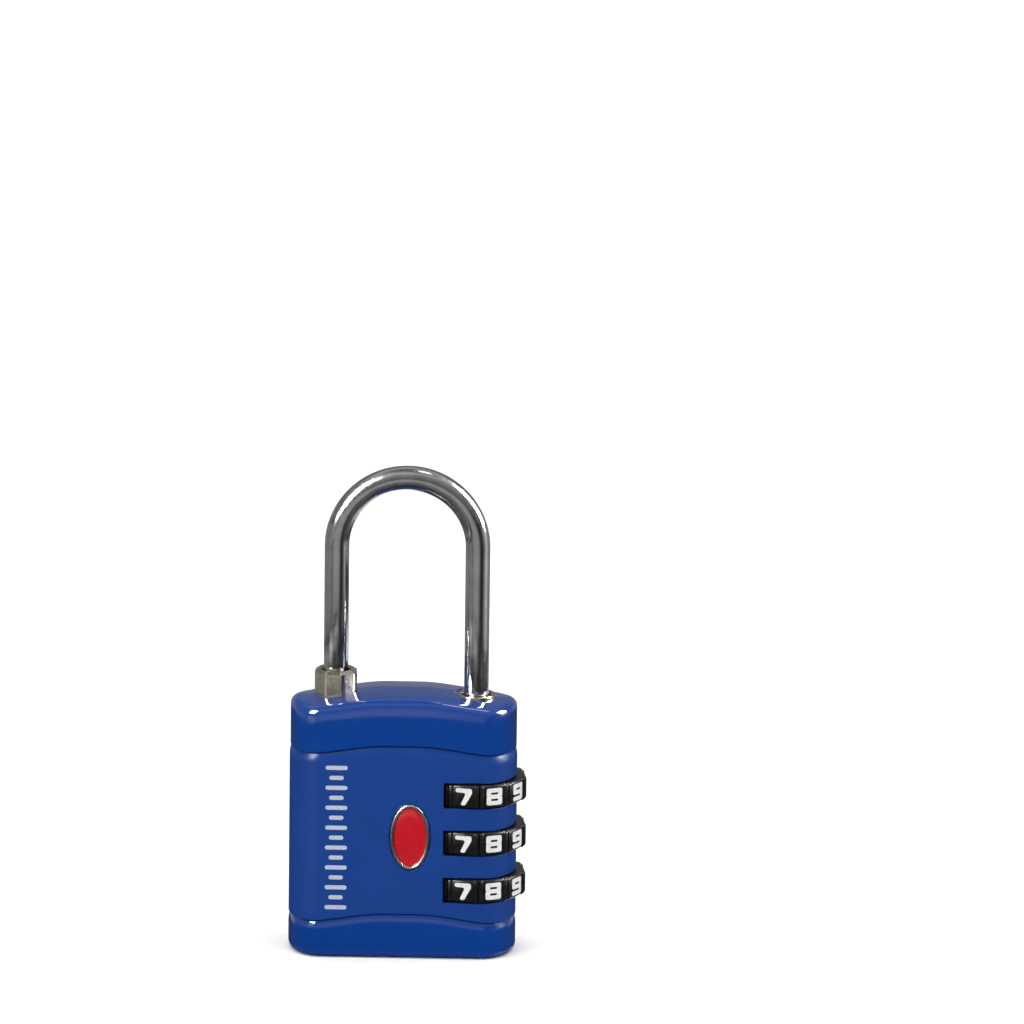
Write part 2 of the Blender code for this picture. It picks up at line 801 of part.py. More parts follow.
def sleeve(name, z, finish):
    """A tube that the dial turns by two lugs, with a gate along its bore for the shackle's fins."""
    half = SLEEVE_HEIGHT / 2
    profile = (
        (SLEEVE_BORE_R, half),
        (SLEEVE_BORE_R, -half),
        (SLEEVE_R, -half),
        (SLEEVE_R, half),
    )
    tube = place(mesh_object(f"sleeve_{name}", lathe(bmesh.new(), profile), finish), LONG_X, 0.0, z)

    lugs = bmesh.new()
    low = -DIAL_HEIGHT / 2
    middle = (SLEEVE_R + SLEEVE_BORE_R) / 2
    y = (-LUG_WIDTH / 2, LUG_WIDTH / 2)
    box(lugs, (middle, LUG_R), y, (low, low + LUG_HEIGHT))
    box(lugs, (-LUG_R, -middle), y, (low, low + LUG_HEIGHT))
    spin = Matrix.Rotation(radians(FIRST_DIGIT_ANGLE), 3, "Z")
    bmesh.ops.rotate(lugs, verts=lugs.verts, matrix=spin)
    lug_pair = place(as_cutter(mesh_object(f"sleeve_{name}_lugs", lugs)), LONG_X, 0.0, z)
    boolean(tube, lug_pair, "UNION")

    half_gate = FIN_WIDTH / 2 + GAP
    gate = bmesh.new()
    box(gate, (0.0, SLEEVE_R - GAP), (-half_gate, half_gate), (-half - PAST, half + PAST))
    gate_cutter = as_cutter(mesh_object(f"sleeve_{name}_gate_cutter", gate))
    boolean(tube, place(gate_cutter, LONG_X, 0.0, z))


def helix_tube(bm, radius, wire, low, high, turns, steps=16, sides=6):
    """A closed compression spring along +Z, whose end coils lie flat."""
    count = int(turns * steps)
    rings = []
    for i in range(count + 1):
        t = i / count
        angle = 2 * pi * turns * t
        rise = smoothstep(t)
        centre = Vector((radius * cos(angle), radius * sin(angle), low + (high - low) * rise))
        out = Vector((cos(angle), sin(angle), 0.0))
        rings.append(
            [
                centre
                + out * wire * cos(2 * pi * s / sides)
                - Vector((0.0, 0.0, 1.0)) * wire * sin(2 * pi * s / sides)
                for s in range(sides)
            ]
        )
    rows = add_rings(bm, rings)
    bm.faces.new(reversed(rows[0]))
    bm.faces.new(rows[-1])
    bmesh.ops.recalc_face_normals(bm, faces=bm.faces)
    return bm


def sleeve_spring(finish):
    low = STACK_FLOOR + GAP + SPRING_WIRE_R
    high = dial_heights()[-1] - SLEEVE_HEIGHT / 2 - GAP - SPRING_WIRE_R
    bm = helix_tube(bmesh.new(), SLEEVE_R - GAP, SPRING_WIRE_R, low, high, SPRING_TURNS)
    place(mesh_object("sleeve_spring", bm, finish), LONG_X)


def detent_size():
    """x range, half width and z range of the leaf that clicks in the dials' grooves."""
    x_high = LONG_X - DIAL_RIDGE_R - GAP - DETENT_CLEARANCE
    return x_high - GAP, x_high, DETENT_HALF_Y, *DETENT_Z


def detent_leaf(finish):
    """A pressed leaf with a half-round bump at each dial."""
    x_low, x_high, half_y, z_low, z_high = detent_size()
    outline = [(x_low, z_low), (x_high, z_low)]
    for z in reversed(dial_heights()):
        for k in range(DETENT_BUMP_STEPS + 1):
            angle = radians(180.0 * k / DETENT_BUMP_STEPS - 90.0)
            outline.append((x_high + DETENT_BUMP_R * cos(angle), z + DETENT_BUMP_R * sin(angle)))
    outline += [(x_high, z_high), (x_low, z_high)]
    bm = prism(bmesh.new(), outline, -half_y, half_y)
    mesh_object("detent_leaf", face_forwards(bm), finish)


# ---------------------------------------------------------------- key cylinder

def key_barrel(finish):
    profile = (
        (BARREL_IN_R, BARREL_TOP),
        (BARREL_IN_R, BARREL_BOTTOM),
        (BARREL_OUT_R, BARREL_BOTTOM),
        (BARREL_OUT_R, BARREL_TOP),
    )
    place(mesh_object("key_barrel", lathe(bmesh.new(), profile), finish), KEY_X)


def wafer_heights():
    return [WAFER_FIRST_Z + i * WAFER_PITCH for i in range(WAFERS)]


def key_plug(finish):
    profile = (
        (0, PLUG_BOTTOM),
        (PLUG_R - PLUG_EDGE, PLUG_BOTTOM),
        (PLUG_R, PLUG_BOTTOM + PLUG_EDGE),
        (PLUG_R, PLUG_TOP),
        (TAIL_R, PLUG_TOP),
        (TAIL_R, CAM_TOP),
        (0, CAM_TOP),
    )
    plug = place(mesh_object("key_plug", lathe(bmesh.new(), profile), finish), KEY_X)
    keyway_top = wafer_heights()[-1] + WAFER_PITCH
    half_width, half_length = KEYWAY_WIDTH / 2, KEYWAY_LENGTH / 2
    keyway = box_cutter(
        "keyway_cutter",
        (
            (KEY_X - half_width, KEY_X + half_width),
            (-half_length, half_length),
            (PLUG_BOTTOM - PAST, keyway_top),
        ),
    )
    slot_x, slot_y = WAFER_SLOT_HALF
    slots = box_cutter(
        "wafer_slot_cutter",
        *[
            ((KEY_X - slot_x, KEY_X + slot_x), (-slot_y, slot_y), (z - GAP, z + WAFER_HEIGHT + GAP))
            for z in wafer_heights()
        ],
    )
    boolean(plug, keyway)
    boolean(plug, slots)


def wafers(finish):
    """Plates across the plug, each with a window for the key a little further up than the last."""
    half_x, half_y = WAFER_HALF
    window_x, window_y = WAFER_WINDOW_HALF
    for i, z in enumerate(wafer_heights()):
        outer = ((-half_x, -half_y), (half_x, -half_y), (half_x, half_y), (-half_x, half_y))
        bm = prism(bmesh.new(), outer, 0.0, WAFER_HEIGHT)
        plate = place(mesh_object(f"wafer_{i + 1}", bm, finish), KEY_X, 0.0, z)
        shift = WAFER_STEP * (i - (WAFERS - 1) / 2)
        window = box_cutter(
            f"wafer_{i + 1}_window_cutter",
            (
                (KEY_X - window_x, KEY_X + window_x),
                (shift - window_y, shift + window_y),
                (z - PAST, z + WAFER_HEIGHT + PAST),
            ),
        )
        boolean(plate, window)


def key_cam(finish):
    """A disc on the plug's tail, with a pin that drives the release slide."""
    bore = TAIL_R + GAP
    profile = ((bore, CAM_TOP), (bore, CAM_BOTTOM), (CAM_R, CAM_BOTTOM), (CAM_R, CAM_TOP))
    cam = place(mesh_object("key_cam", lathe(bmesh.new(), profile), finish), KEY_X)
    x, y = drive_pin_place()
    low, high = (CAM_BOTTOM + CAM_TOP) / 2, SLIDE_FOOT_Z[1]
    profile = ((0, low), (DRIVE_PIN_R, low), (DRIVE_PIN_R, high), (0, high))
    boolean(cam, lathe_cutter("drive_pin", profile, 12, (x, y)), "UNION")


def drive_pin_place():
    turn = radians(DRIVE_ANGLE)
    return KEY_X + DRIVE_R * cos(turn), DRIVE_R * sin(turn)


def slide_boxes():
    """The release slide's foot, round the drive pin, and its upright."""
    pin_x, _ = drive_pin_place()
    right = SLIDE_TIP_X + SLIDE_WIDTH
    foot = ((pin_x - SLIDE_FOOT_MARGIN, right), SLIDE_FOOT_Y, SLIDE_FOOT_Z)
    upright = ((SLIDE_TIP_X + GAP, right), SLIDE_UPRIGHT_Y, (SLIDE_FOOT_Z[0], SLIDE_TIP_Z[1]))
    return foot, upright


def release_slide(finish):
    foot, upright = slide_boxes()
    outline = (
        (foot[0][0], foot[2][0]),
        (upright[0][1], foot[2][0]),
        (upright[0][1], SLIDE_TIP_Z[1]),
        (SLIDE_TIP_X, SLIDE_TIP_Z[1]),
        (SLIDE_TIP_X, SLIDE_TIP_Z[0]),
        (upright[0][0], SLIDE_TIP_Z[0] - GAP),
        (upright[0][0], foot[2][1]),
        (foot[0][0], foot[2][1]),
    )
    bm = prism(bmesh.new(), outline, -upright[1][1], -upright[1][0])
    plate = mesh_object("release_slide", face_forwards(bm), finish)
    arm = box_cutter("slide_arm", (foot[0], (0.0, foot[1][1]), foot[2]))
    boolean(plate, arm, "UNION")
    pin_x, pin_y = drive_pin_place()
    room = DRIVE_PIN_R + GAP
    slot = ((pin_x - room, pin_x + room), (pin_y - room, DRIVE_R + room))
    boolean(plate, box_cutter("slide_slot_cutter", (*slot, (foot[2][0] - PAST, foot[2][1] + PAST))))


# ---------------------------------------------------------------- badge and screws

def badge(finishes):
    """An oval silver rim with a domed red insert."""
    half_x, half_z = BADGE_HALF
    back = HALF_DEPTH - BADGE_RECESS + GAP
    outer = [[(x, y, back) for x, y in ellipse(half_x, half_z, BADGE_STEPS)]]
    outer += [
        [(x * s, y * s, HALF_DEPTH + proud) for x, y in ellipse(half_x, half_z, BADGE_STEPS)]
        for s, proud in BADGE_RIM_PROFILE
    ]
    inner = [
        [(x, y, z) for x, y in ellipse(half_x - BADGE_RIM, half_z - BADGE_RIM, BADGE_STEPS)]
        for z in (HALF_DEPTH + BADGE_PROUD, back)
    ]
    bm = bmesh.new()
    add_rings(bm, outer + inner, closed=True)
    place(mesh_object("badge_rim", face_forwards(bm), finishes["silver"]), BADGE_X, 0.0, BADGE_Z)

    fit_x, fit_z = half_x - BADGE_RIM - GAP, half_z - BADGE_RIM - GAP
    dome = [[(x, y, back) for x, y in ellipse(fit_x, fit_z, BADGE_STEPS)]]
    dome += [
        [(x * s, y * s, HALF_DEPTH + proud) for x, y in ellipse(fit_x, fit_z, BADGE_STEPS)]
        for s, proud in BADGE_DOME_PROFILE
    ]
    bm = bmesh.new()
    rows = add_rings(bm, dome)
    bm.faces.new(reversed(rows[0]))
    bm.faces.new(rows[-1])
    insert = mesh_object("badge_insert", face_forwards(bm), finishes["badge_red"])
    place(insert, BADGE_X, 0.0, BADGE_Z)


def screws(finish):
    """Four identical screws, driven in from the rear."""
    head, shank = SCREW_HEAD_R, SCREW_SHANK_R
    drive_r, drive_depth = SCREW_DRIVE
    profile = (
        (0, -SCREW_HEAD_Y[1] + drive_depth),
        (drive_r, -SCREW_HEAD_Y[1]),
        (head - SCREW_EDGE, -SCREW_HEAD_Y[1]),
        (head, -SCREW_HEAD_Y[1] + SCREW_EDGE),
        (head, -SCREW_HEAD_Y[0]),
        (shank, -SCREW_HEAD_Y[0]),
        (shank, -SCREW_END_Y - SCREW_POINT),
        (shank - SCREW_POINT, -SCREW_END_Y),
        (0, -SCREW_END_Y),
    )
    for i, (x, z) in enumerate(SCREWS):
        bm = lathe(bmesh.new(), profile, 12)
        place(mesh_object(f"screw_{i + 1}", face_forwards(bm), finish), x, 0.0, z)


# ---------------------------------------------------------------- assembly

def clear_scene():
    for obj in list(bpy.data.objects):
        bpy.data.objects.remove(obj, do_unlink=True)


def main():
    clear_scene()
    finishes = make_materials()
    halves = half_cutters()
    shells(finishes, halves)
    chassis(finishes, halves)
    shackle(finishes["steel"])
    collar_nut(finishes["nickel"])
    leg_bush(finishes["nickel"])
    for name, z in zip(DIAL_NAMES, dial_heights()):
        dial(name, z, finishes["dial_black"])
        sleeve(name, z, finishes["brass"])
    sleeve_spring(finishes["spring_steel"])
    detent_leaf(finishes["spring_steel"])
    key_barrel(finishes["brass"])
    key_plug(finishes["brass"])
    wafers(finishes["brass"])
    key_cam(finishes["zinc"])
    release_slide(finishes["spring_steel"])
    badge(finishes)
    screws(finishes["steel"])


main()
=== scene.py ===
"""Looks of the three-dial luggage padlock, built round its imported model.

Lengths are in millimetres, as in the design; make_piece turns them into metres. The lock stands on
z = 0 and its digits are read from -Y. Every piece is built where it lies at rest.
"""

from math import atan2, cos, pi, radians, sin, sqrt

import bmesh
import bpy
from mathutils import Matrix, Quaternion, Vector


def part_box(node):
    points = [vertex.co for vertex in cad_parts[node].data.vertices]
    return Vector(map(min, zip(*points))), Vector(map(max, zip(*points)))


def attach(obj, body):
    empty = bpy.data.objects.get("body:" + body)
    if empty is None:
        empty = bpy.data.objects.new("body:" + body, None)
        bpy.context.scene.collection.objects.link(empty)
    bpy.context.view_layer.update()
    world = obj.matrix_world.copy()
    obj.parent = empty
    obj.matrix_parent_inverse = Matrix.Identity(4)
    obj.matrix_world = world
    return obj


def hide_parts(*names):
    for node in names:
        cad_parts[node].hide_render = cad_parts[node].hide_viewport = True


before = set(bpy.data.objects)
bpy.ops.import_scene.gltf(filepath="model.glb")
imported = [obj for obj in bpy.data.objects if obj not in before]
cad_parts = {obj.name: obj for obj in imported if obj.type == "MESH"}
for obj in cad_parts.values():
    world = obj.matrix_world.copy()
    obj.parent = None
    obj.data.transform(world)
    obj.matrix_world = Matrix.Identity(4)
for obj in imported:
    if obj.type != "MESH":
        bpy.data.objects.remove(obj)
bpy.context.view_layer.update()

MM = 0.001


def box_mm(node):
    low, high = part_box(node)
    return low / MM, high / MM


def middle_mm(node):
    low, high = box_mm(node)
    return (low + high) / 2


# Body outline seen from above: flat front and rear, with a half ellipse at each side
HALF_WIDTH = box_mm("bottom_cap")[1].x
HALF_DEPTH = box_mm("bottom_cap")[1].y
BODY_TOP = box_mm("front_top_cap")[1].z
FLAT_HALF = 10.6
SIDE_STEPS = 22
COLUMN_PITCH = 0.5

# Seams, with the shallow arch that they and the top follow
TOP_SEAM = 28.9
BOTTOM_SEAM = 6.05
SEAM_GAP = 0.11
ARCH_FLAT = 2.0
ARCH_RUN = 11.5
ARCH_DROP = 1.2
ROW_PITCH = 0.55

# Edges
BASE_EDGE = 1.0
LIP_R = 2.3  # the soft roll of the panel and the bottom cap towards the seam above them
LIP_ANGLE = 36.0
LIP_AT_SIDE = 0.62  # share of the roll that is left at the body's left and right ends
LIP_FADE = 1.25  # how fast it gets back to the whole roll towards the front
CAP_INSET = 0.1
TOP_FRONT_EDGE = 1.1
TOP_REAR_EDGE = 2.6
TOP_CROWN = 0.5
EDGE_STEPS = 10
FILL_STEPS = 24
PAST = 1.0  # how far a cutter reaches past what it cuts
PARTING = 0.1
CAP_WALL = 0.9
PANEL_WALL = 0.7
SHELL_BEVEL = 0.1
WINDOW_BEVEL = 0.32

# Dials
DIAL_NAMES = ("1", "2", "3")
DIALS_X = middle_mm("leg_bush").x
DIAL_RIDGE_R = box_mm("dial_1")[1].x - DIALS_X
DIAL_FACE_R = DIAL_RIDGE_R - 0.25
DIAL_HEIGHT = box_mm("dial_1")[1].z - box_mm("dial_1")[0].z
DIAL_BORE_R = 3.7
PAD_HALF = 12.0  # this and the next five are in degrees, from the middle of a digit's pad
RIDGE_START = 12.6
RIDGE_RUN = 1.6
RIDGE_TOP = 14.2
GROOVE_START = 16.9
GROOVE_RUN = 1.1
GROOVE_DEPTH = 1.3  # times the ridge's height
DIGITS = 10
FIRST_DIGIT = 7
FIRST_DIGIT_ANGLE = -102.0  # from +X towards +Y, in degrees
WINDOW_HEIGHT = 3.42
WINDOW_START_X = 5.5

# Digits, drawn on a flat pad before they are wrapped round the dial
DIGIT_HALF_WIDTH = 1.1
DIGIT_HALF_HEIGHT = 1.13
DIGIT_STROKE = 0.6
DIGIT_PROUD = 0.05
DIGIT_SUNK = 0.05
DIGIT_CORNER_R = 0.3
DIGIT_HOLE_CORNER_R = 0.12

# Shackle and fittings
WIRE_R = 1.62
SHORT_X = middle_mm("collar_nut").x
LONG_X = middle_mm("leg_bush").x
SHACKLE_LOW, SHACKLE_HIGH = (corner.z for corner in box_mm("shackle"))
BEND_R = (LONG_X - SHORT_X) / 2
BEND_Z = SHACKLE_HIGH - WIRE_R - BEND_R
TOE_END = 29.4
TOE_FLAT_X = SHORT_X + 1.1
TOE_FLAT_TOP = 31.7
LEG_BORE_R = WIRE_R + 0.3
WIRE_SIDES = 64
BEND_STEPS = 96
FIN_R = 2.4
FIN_WIDTH = 1.2
FIN_HEIGHT = 1.2
FIN_TOP_Z = 22.4
DIAL_PITCH = middle_mm("dial_1").z - middle_mm("dial_2").z
COLLAR_FLATS = 5.45
COLLAR_TURN = 22.5 - 3.5
COLLAR_CHAMFER = 0.5
COLLAR_CORNER_R = 0.8
TURN_STEPS = 96
FIT = 0.04  # hairline round the fittings in the top cap

# Key plug
KEY_X = middle_mm("key_plug").x
PLUG_HOLE_R = 2.95
PLUG_HOLE_TOP = 3.0
KEYWAY_HALF = (0.5, 2.2)
WAFER_ROOM_HALF = (1.6, 2.6)
WAFER_GAP = 0.3

# Badge and printed marks on the front panel
BADGE = middle_mm("badge_rim")
BADGE_HALF = (2.6, 4.45)
BADGE_RIM = 0.45
BADGE_GAP = 0.12
BADGE_SUNK = 0.6
RIM_PROUD = 0.17
DOME_GAP = 0.03
DOME_RISE = 0.34
DOME_SEAT = 0.05
BADGE_STEPS = 96
MARK_X = -8.6
MARK_Z = (6.9, 25.9)
MARK_WIDTHS = (2.9, 1.9)
MARK_STROKE = 0.56
MARK_COUNT = 15
MARK_PROUD = 0.03

# Stage
FLOOR_Z = -0.02
# levels of the dark sheet under the lock that stands as painted shadow in mirrors
SHADOW_SHEET_Z = (-0.015, -0.01)
KEY_BRIGHTNESS = 3.0
GLINT_BRIGHTNESS = 40.0


# ---------------------------------------------------------------- materials

class Finish:
    """A Principled material whose varying inputs come from procedural textures in the part's own
    space. Feature sizes are in millimetres."""

    def __init__(self, name, colour, roughness, metallic=0.0, **uniform):
        self.material = bpy.data.materials.new(name)
        self.material.use_nodes = True
        tree = self.material.node_tree
        self.nodes, self.links = tree.nodes, tree.links
        self.shader = self.nodes["Principled BSDF"]
        self.set("Base Color", (*colour, 1.0))
        self.set("Roughness", roughness)
        self.set("Metallic", metallic)
        for socket, value in uniform.items():
            self.set(socket.replace("_", " "), value)
        self.place = self.nodes.new("ShaderNodeTexCoord").outputs["Object"]
        self.last_normal = None

    def set(self, socket, value):
        self.shader.inputs[socket].default_value = value

    def stretched(self, stretch):
        mapping = self.nodes.new("ShaderNodeMapping")
        mapping.inputs["Scale"].default_value = stretch
        self.links.new(self.place, mapping.inputs["Vector"])
        return mapping.outputs["Vector"]

    def noise(self, size, detail=3.0, roughness=0.5, stretch=None):
        node = self.nodes.new("ShaderNodeTexNoise")
        node.inputs["Scale"].default_value = 1.0 / (size * MM)
        node.inputs["Detail"].default_value = detail
        node.inputs["Roughness"].default_value = roughness
        self.links.new(self.stretched(stretch) if stretch else self.place, node.inputs["Vector"])
        return node.outputs["Fac"]

    def cells(self, size):
        node = self.nodes.new("ShaderNodeTexVoronoi")
        node.inputs["Scale"].default_value = 1.0 / (size * MM)
        self.links.new(self.place, node.inputs["Vector"])
        return node.outputs["Distance"]

    def ranged(self, factor, low, high, start=0.3, end=0.7):
        node = self.nodes.new("ShaderNodeMapRange")
        for socket, value in (
            ("From Min", start), ("From Max", end), ("To Min", low), ("To Max", high)
        ):
            node.inputs[socket].default_value = value
        self.links.new(factor, node.inputs["Value"])
        return node.outputs["Result"]

    def vary(self, socket, factor, low, high, start=0.3, end=0.7):
        self.links.new(self.ranged(factor, low, high, start, end), self.shader.inputs[socket])

    def tint(self, factor, first, second, start=0.3, end=0.7):
        ramp = self.nodes.new("ShaderNodeValToRGB")
        ramp.color_ramp.elements[0].position = start
        ramp.color_ramp.elements[0].color = (*first, 1.0)
        ramp.color_ramp.elements[1].position = end
        ramp.color_ramp.elements[1].color = (*second, 1.0)
        self.links.new(factor, ramp.inputs["Fac"])
        self.links.new(ramp.outputs["Color"], self.shader.inputs["Base Color"])

    def bump(self, height, depth, strength=1.0):
        node = self.nodes.new("ShaderNodeBump")
        node.inputs["Strength"].default_value = strength
        node.inputs["Distance"].default_value = depth * MM
        self.links.new(height, node.inputs["Height"])
        if self.last_normal is not None:
            self.links.new(self.last_normal, node.inputs["Normal"])
        self.last_normal = node.outputs["Normal"]
        self.links.new(self.last_normal, self.shader.inputs["Normal"])


def gloss_blue():
    finish = Finish(
        "gloss_blue_plastic", (0.0007, 0.033, 0.2), 0.08, Coat_Weight=1.0, Coat_Roughness=0.04
    )
    finish.tint(finish.noise(9.0), (0.0006, 0.0315, 0.194), (0.0008, 0.0345, 0.206))
    finish.vary("Roughness", finish.noise(1.4, 5.0), 0.06, 0.13)
    finish.bump(finish.noise(1.1, 2.0), 0.0016)
    finish.bump(finish.noise(0.12, 2.0, stretch=(1.0, 1.0, 0.15)), 0.00015)
    return finish.material


def satin_blue():
    finish = Finish("satin_blue_plastic", (0.0027, 0.035, 0.195), 0.31, Specular_IOR_Level=0.18)
    finish.tint(finish.noise(6.0), (0.0024, 0.0335, 0.189), (0.003, 0.0365, 0.201))
    finish.vary("Roughness", finish.noise(0.5, 2.0), 0.29, 0.33, 0.0, 1.0)
    finish.bump(finish.noise(1.6, 2.0), 0.003)
    finish.bump(finish.noise(0.2, 2.0, 0.5), 0.002)
    return finish.material


def dial_black():
    finish = Finish("dial_black_plastic", (0.006, 0.006, 0.0065), 0.3, Specular_IOR_Level=0.3)
    finish.tint(finish.noise(0.8, 5.0), (0.0045, 0.0045, 0.005), (0.0075, 0.0075, 0.008))
    finish.vary("Roughness", finish.noise(0.6, 4.0), 0.24, 0.38)
    finish.bump(finish.noise(0.14, 3.0, 0.6), 0.004)
    return finish.material


def digit_white():
    finish = Finish("digit_white_paint", (0.61, 0.61, 0.6), 0.38)
    finish.tint(finish.noise(0.5, 4.0), (0.56, 0.56, 0.55), (0.66, 0.66, 0.65))
    finish.vary("Roughness", finish.noise(0.3, 3.0), 0.3, 0.46)
    finish.bump(finish.noise(0.18, 2.0), 0.004)
    return finish.material


def polished_steel():
    finish = Finish("polished_steel", (0.56, 0.56, 0.57), 0.12, 1.0)
    finish.tint(finish.noise(2.2, 5.0), (0.5, 0.5, 0.51), (0.62, 0.62, 0.63))
    finish.vary("Roughness", finish.noise(0.5, 5.0, stretch=(1.0, 1.0, 0.3)), 0.08, 0.2)
    finish.bump(finish.noise(1.3, 2.0, stretch=(1.0, 1.0, 0.5)), 0.009)
    finish.bump(finish.noise(0.22, 3.0, stretch=(1.0, 1.0, 0.2)), 0.0012)
    return finish.material


def nickel():
    finish = Finish("nickel_plate", (0.62, 0.57, 0.47), 0.15, 1.0)
    finish.tint(finish.noise(1.4, 4.0), (0.56, 0.51, 0.41), (0.68, 0.63, 0.53))
    finish.vary("Roughness", finish.noise(0.4, 4.0), 0.1, 0.22)
    finish.bump(finish.noise(0.9, 2.0), 0.003)
    return finish.material


def silver_rim():
    finish = Finish("silver_rim", (0.75, 0.76, 0.78), 0.2, 1.0)
    finish.tint(finish.noise(0.8, 4.0), (0.7, 0.71, 0.73), (0.8, 0.81, 0.83))
    finish.vary("Roughness", finish.noise(0.3, 4.0), 0.14, 0.28)
    finish.bump(finish.noise(0.2, 2.0), 0.001)
    return finish.material


def silver_ink():
    finish = Finish("silver_ink", (0.5, 0.54, 0.62), 0.4, 0.35)
    finish.tint(finish.noise(0.25, 4.0), (0.44, 0.48, 0.57), (0.56, 0.6, 0.68))
    finish.vary("Roughness", finish.noise(0.2, 3.0), 0.32, 0.5)
    finish.bump(finish.noise(0.15, 2.0), 0.003)
    return finish.material


def badge_red():
    finish = Finish(
        "badge_red_enamel", (0.42, 0.005, 0.012), 0.1, Coat_Weight=1.0, Coat_Roughness=0.03
    )
    finish.tint(finish.noise(1.2, 2.0), (0.4, 0.0045, 0.011), (0.44, 0.0055, 0.013))
    finish.vary("Roughness", finish.noise(0.5, 3.0), 0.08, 0.16)
    finish.bump(finish.noise(0.8, 2.0), 0.001)
    return finish.material


def zinc_darkened_for_shade():
    # near-black, far darker than bare zinc: painted shade, so the works seen through the gaps round
    # the dials look shadowed
    finish = Finish("zinc_darkened_for_shade", (0.06, 0.06, 0.065), 0.55, 0.8)
    finish.tint(finish.noise(1.0, 5.0), (0.04, 0.04, 0.045), (0.08, 0.08, 0.085))
    finish.vary("Roughness", finish.noise(0.4, 4.0), 0.45, 0.65)
    finish.bump(finish.cells(0.35), 0.01)
    return finish.material


def brass():
    finish = Finish("turned_brass", (0.72, 0.52, 0.24), 0.25, 1.0)
    finish.tint(finish.noise(1.2, 5.0), (0.62, 0.43, 0.18), (0.78, 0.58, 0.28))
    finish.vary("Roughness", finish.noise(0.3, 4.0), 0.18, 0.34)
    finish.bump(finish.noise(0.08, 3.0, stretch=(1.0, 1.0, 6.0)), 0.0012)
    return finish.material


def spring_steel():
    finish = Finish("spring_steel", (0.42, 0.42, 0.44), 0.3, 1.0)
    finish.tint(finish.noise(0.8, 4.0), (0.34, 0.34, 0.37), (0.48, 0.48, 0.5))
    finish.vary("Roughness", finish.noise(0.25, 4.0), 0.22, 0.4)
    finish.bump(finish.noise(0.12, 3.0), 0.001)
    return finish.material


def stage_floor():
    finish = Finish("stage_floor", (0.82, 0.82, 0.82), 0.7)
    finish.tint(finish.noise(400.0), (0.815, 0.815, 0.815), (0.825, 0.825, 0.825))
    return finish.material


# ---------------------------------------------------------------- mesh helpers

def make_mesh(name, bm, smooth_angle=35.0):
    """An object from a bmesh built in millimetres."""
    bmesh.ops.scale(bm, vec=(MM, MM, MM), verts=bm.verts)
    mesh = bpy.data.meshes.new(name)
    bm.to_mesh(mesh)
    bm.free()
    mesh.shade_smooth()
    mesh.set_sharp_from_angle(angle=radians(smooth_angle))
    obj = bpy.data.objects.new(name, mesh)
    bpy.context.scene.collection.objects.link(obj)
    return obj


def make_piece(name, bm, finish, body, replaces=(), smooth_angle=35.0):
    """A shown piece, with its finish, the body that carries it and the nodes that it stands for."""
    obj = make_mesh(name, bm, smooth_angle)
    obj.data.materials.append(finish)
    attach(obj, body)
    if replaces:
        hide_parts(*replaces)
    return obj


def cutter(name, bm):
    """A solid that only cuts others. It is taken away again once they are cut."""
    obj = make_mesh(name, bm)
    obj.hide_render = True
    return obj


def add_modifier(obj, kind, **settings):
    modifier = obj.modifiers.new(kind.lower(), kind)
    for setting, value in settings.items():
        setattr(modifier, setting, value)
    return modifier


def thicken(obj, wall):
    add_modifier(obj, "SOLIDIFY", thickness=wall * MM, offset=-1.0, use_even_offset=True)


def soften(obj, width, angle=40.0, segments=3):
    add_modifier(
        obj,
        "BEVEL",
        width=width * MM,
        segments=segments,
        limit_method="ANGLE",
        angle_limit=radians(angle),
        harden_normals=True,
    )


def soften_windows(obj):
    """Rounds the edges of the dials' windows, which take a wider rounding than the seams."""
    spans = window_spans()
    weights = obj.data.attributes.new("bevel_weight_edge", "FLOAT", "EDGE")
    vertices = obj.data.vertices

    def on_window(point):
        x, z = point.x / MM, point.z / MM
        levels = any(min(abs(z - low), abs(z - high)) < 0.01 for low, high in spans)
        inside = any(low - 0.01 < z < high + 0.01 for low, high in spans)
        return x > WINDOW_START_X - 0.01 and (levels or (inside and x < WINDOW_START_X + 0.01))

    for edge in obj.data.edges:
        ends = [vertices[i].co for i in edge.vertices]
        level = abs(ends[0].z - ends[1].z) < 1e-6
        upright = abs(ends[0].x - ends[1].x) + abs(ends[0].y - ends[1].y) < 1e-6
        if all(on_window(end) for end in ends) and (level or upright):
            weights.data[edge.index].value = 1.0
    add_modifier(
        obj,
        "BEVEL",
        width=WINDOW_BEVEL * MM,
        segments=4,
        limit_method="WEIGHT",
        harden_normals=True,
    )


def cut(obj, *others, operation="DIFFERENCE"):
    for other in others:
        add_modifier(obj, "BOOLEAN", operation=operation, solver="EXACT", object=other)


def bake_modifiers(obj):
    """Replaces the mesh by what its modifiers make of it."""
    graph = bpy.context.evaluated_depsgraph_get()
    baked = bpy.data.meshes.new_from_object(obj.evaluated_get(graph), depsgraph=graph)
    obj.modifiers.clear()
    obj.data = baked
    close_slits(baked)


def close_slits(mesh):
    """Fills the hair-thin triangles that a cut can leave open."""
    bm = bmesh.new()
    bm.from_mesh(mesh)
    slits = [edge for edge in bm.edges if edge.is_boundary]
    if slits:
        bmesh.ops.holes_fill(bm, edges=slits, sides=4)
        bm.to_mesh(mesh)
    bm.free()


def discard(*objects):
    for obj in objects:
        bpy.data.objects.remove(obj, do_unlink=True)


def add_rings(bm, rings, closed=False):
    """Quads between rings of the same number of points, each anticlockwise seen from above."""
    rows = [[bm.verts.new(point) for point in ring] for ring in rings]
    pairs = list(zip(rows, rows[1:]))
    if closed:
        pairs.append((rows[-1], rows[0]))
    for low, high in pairs:
        count = len(low)
        for i in range(count):
            j = (i + 1) % count
            bm.faces.new((low[i], low[j], high[j], high[i]))
    return rows


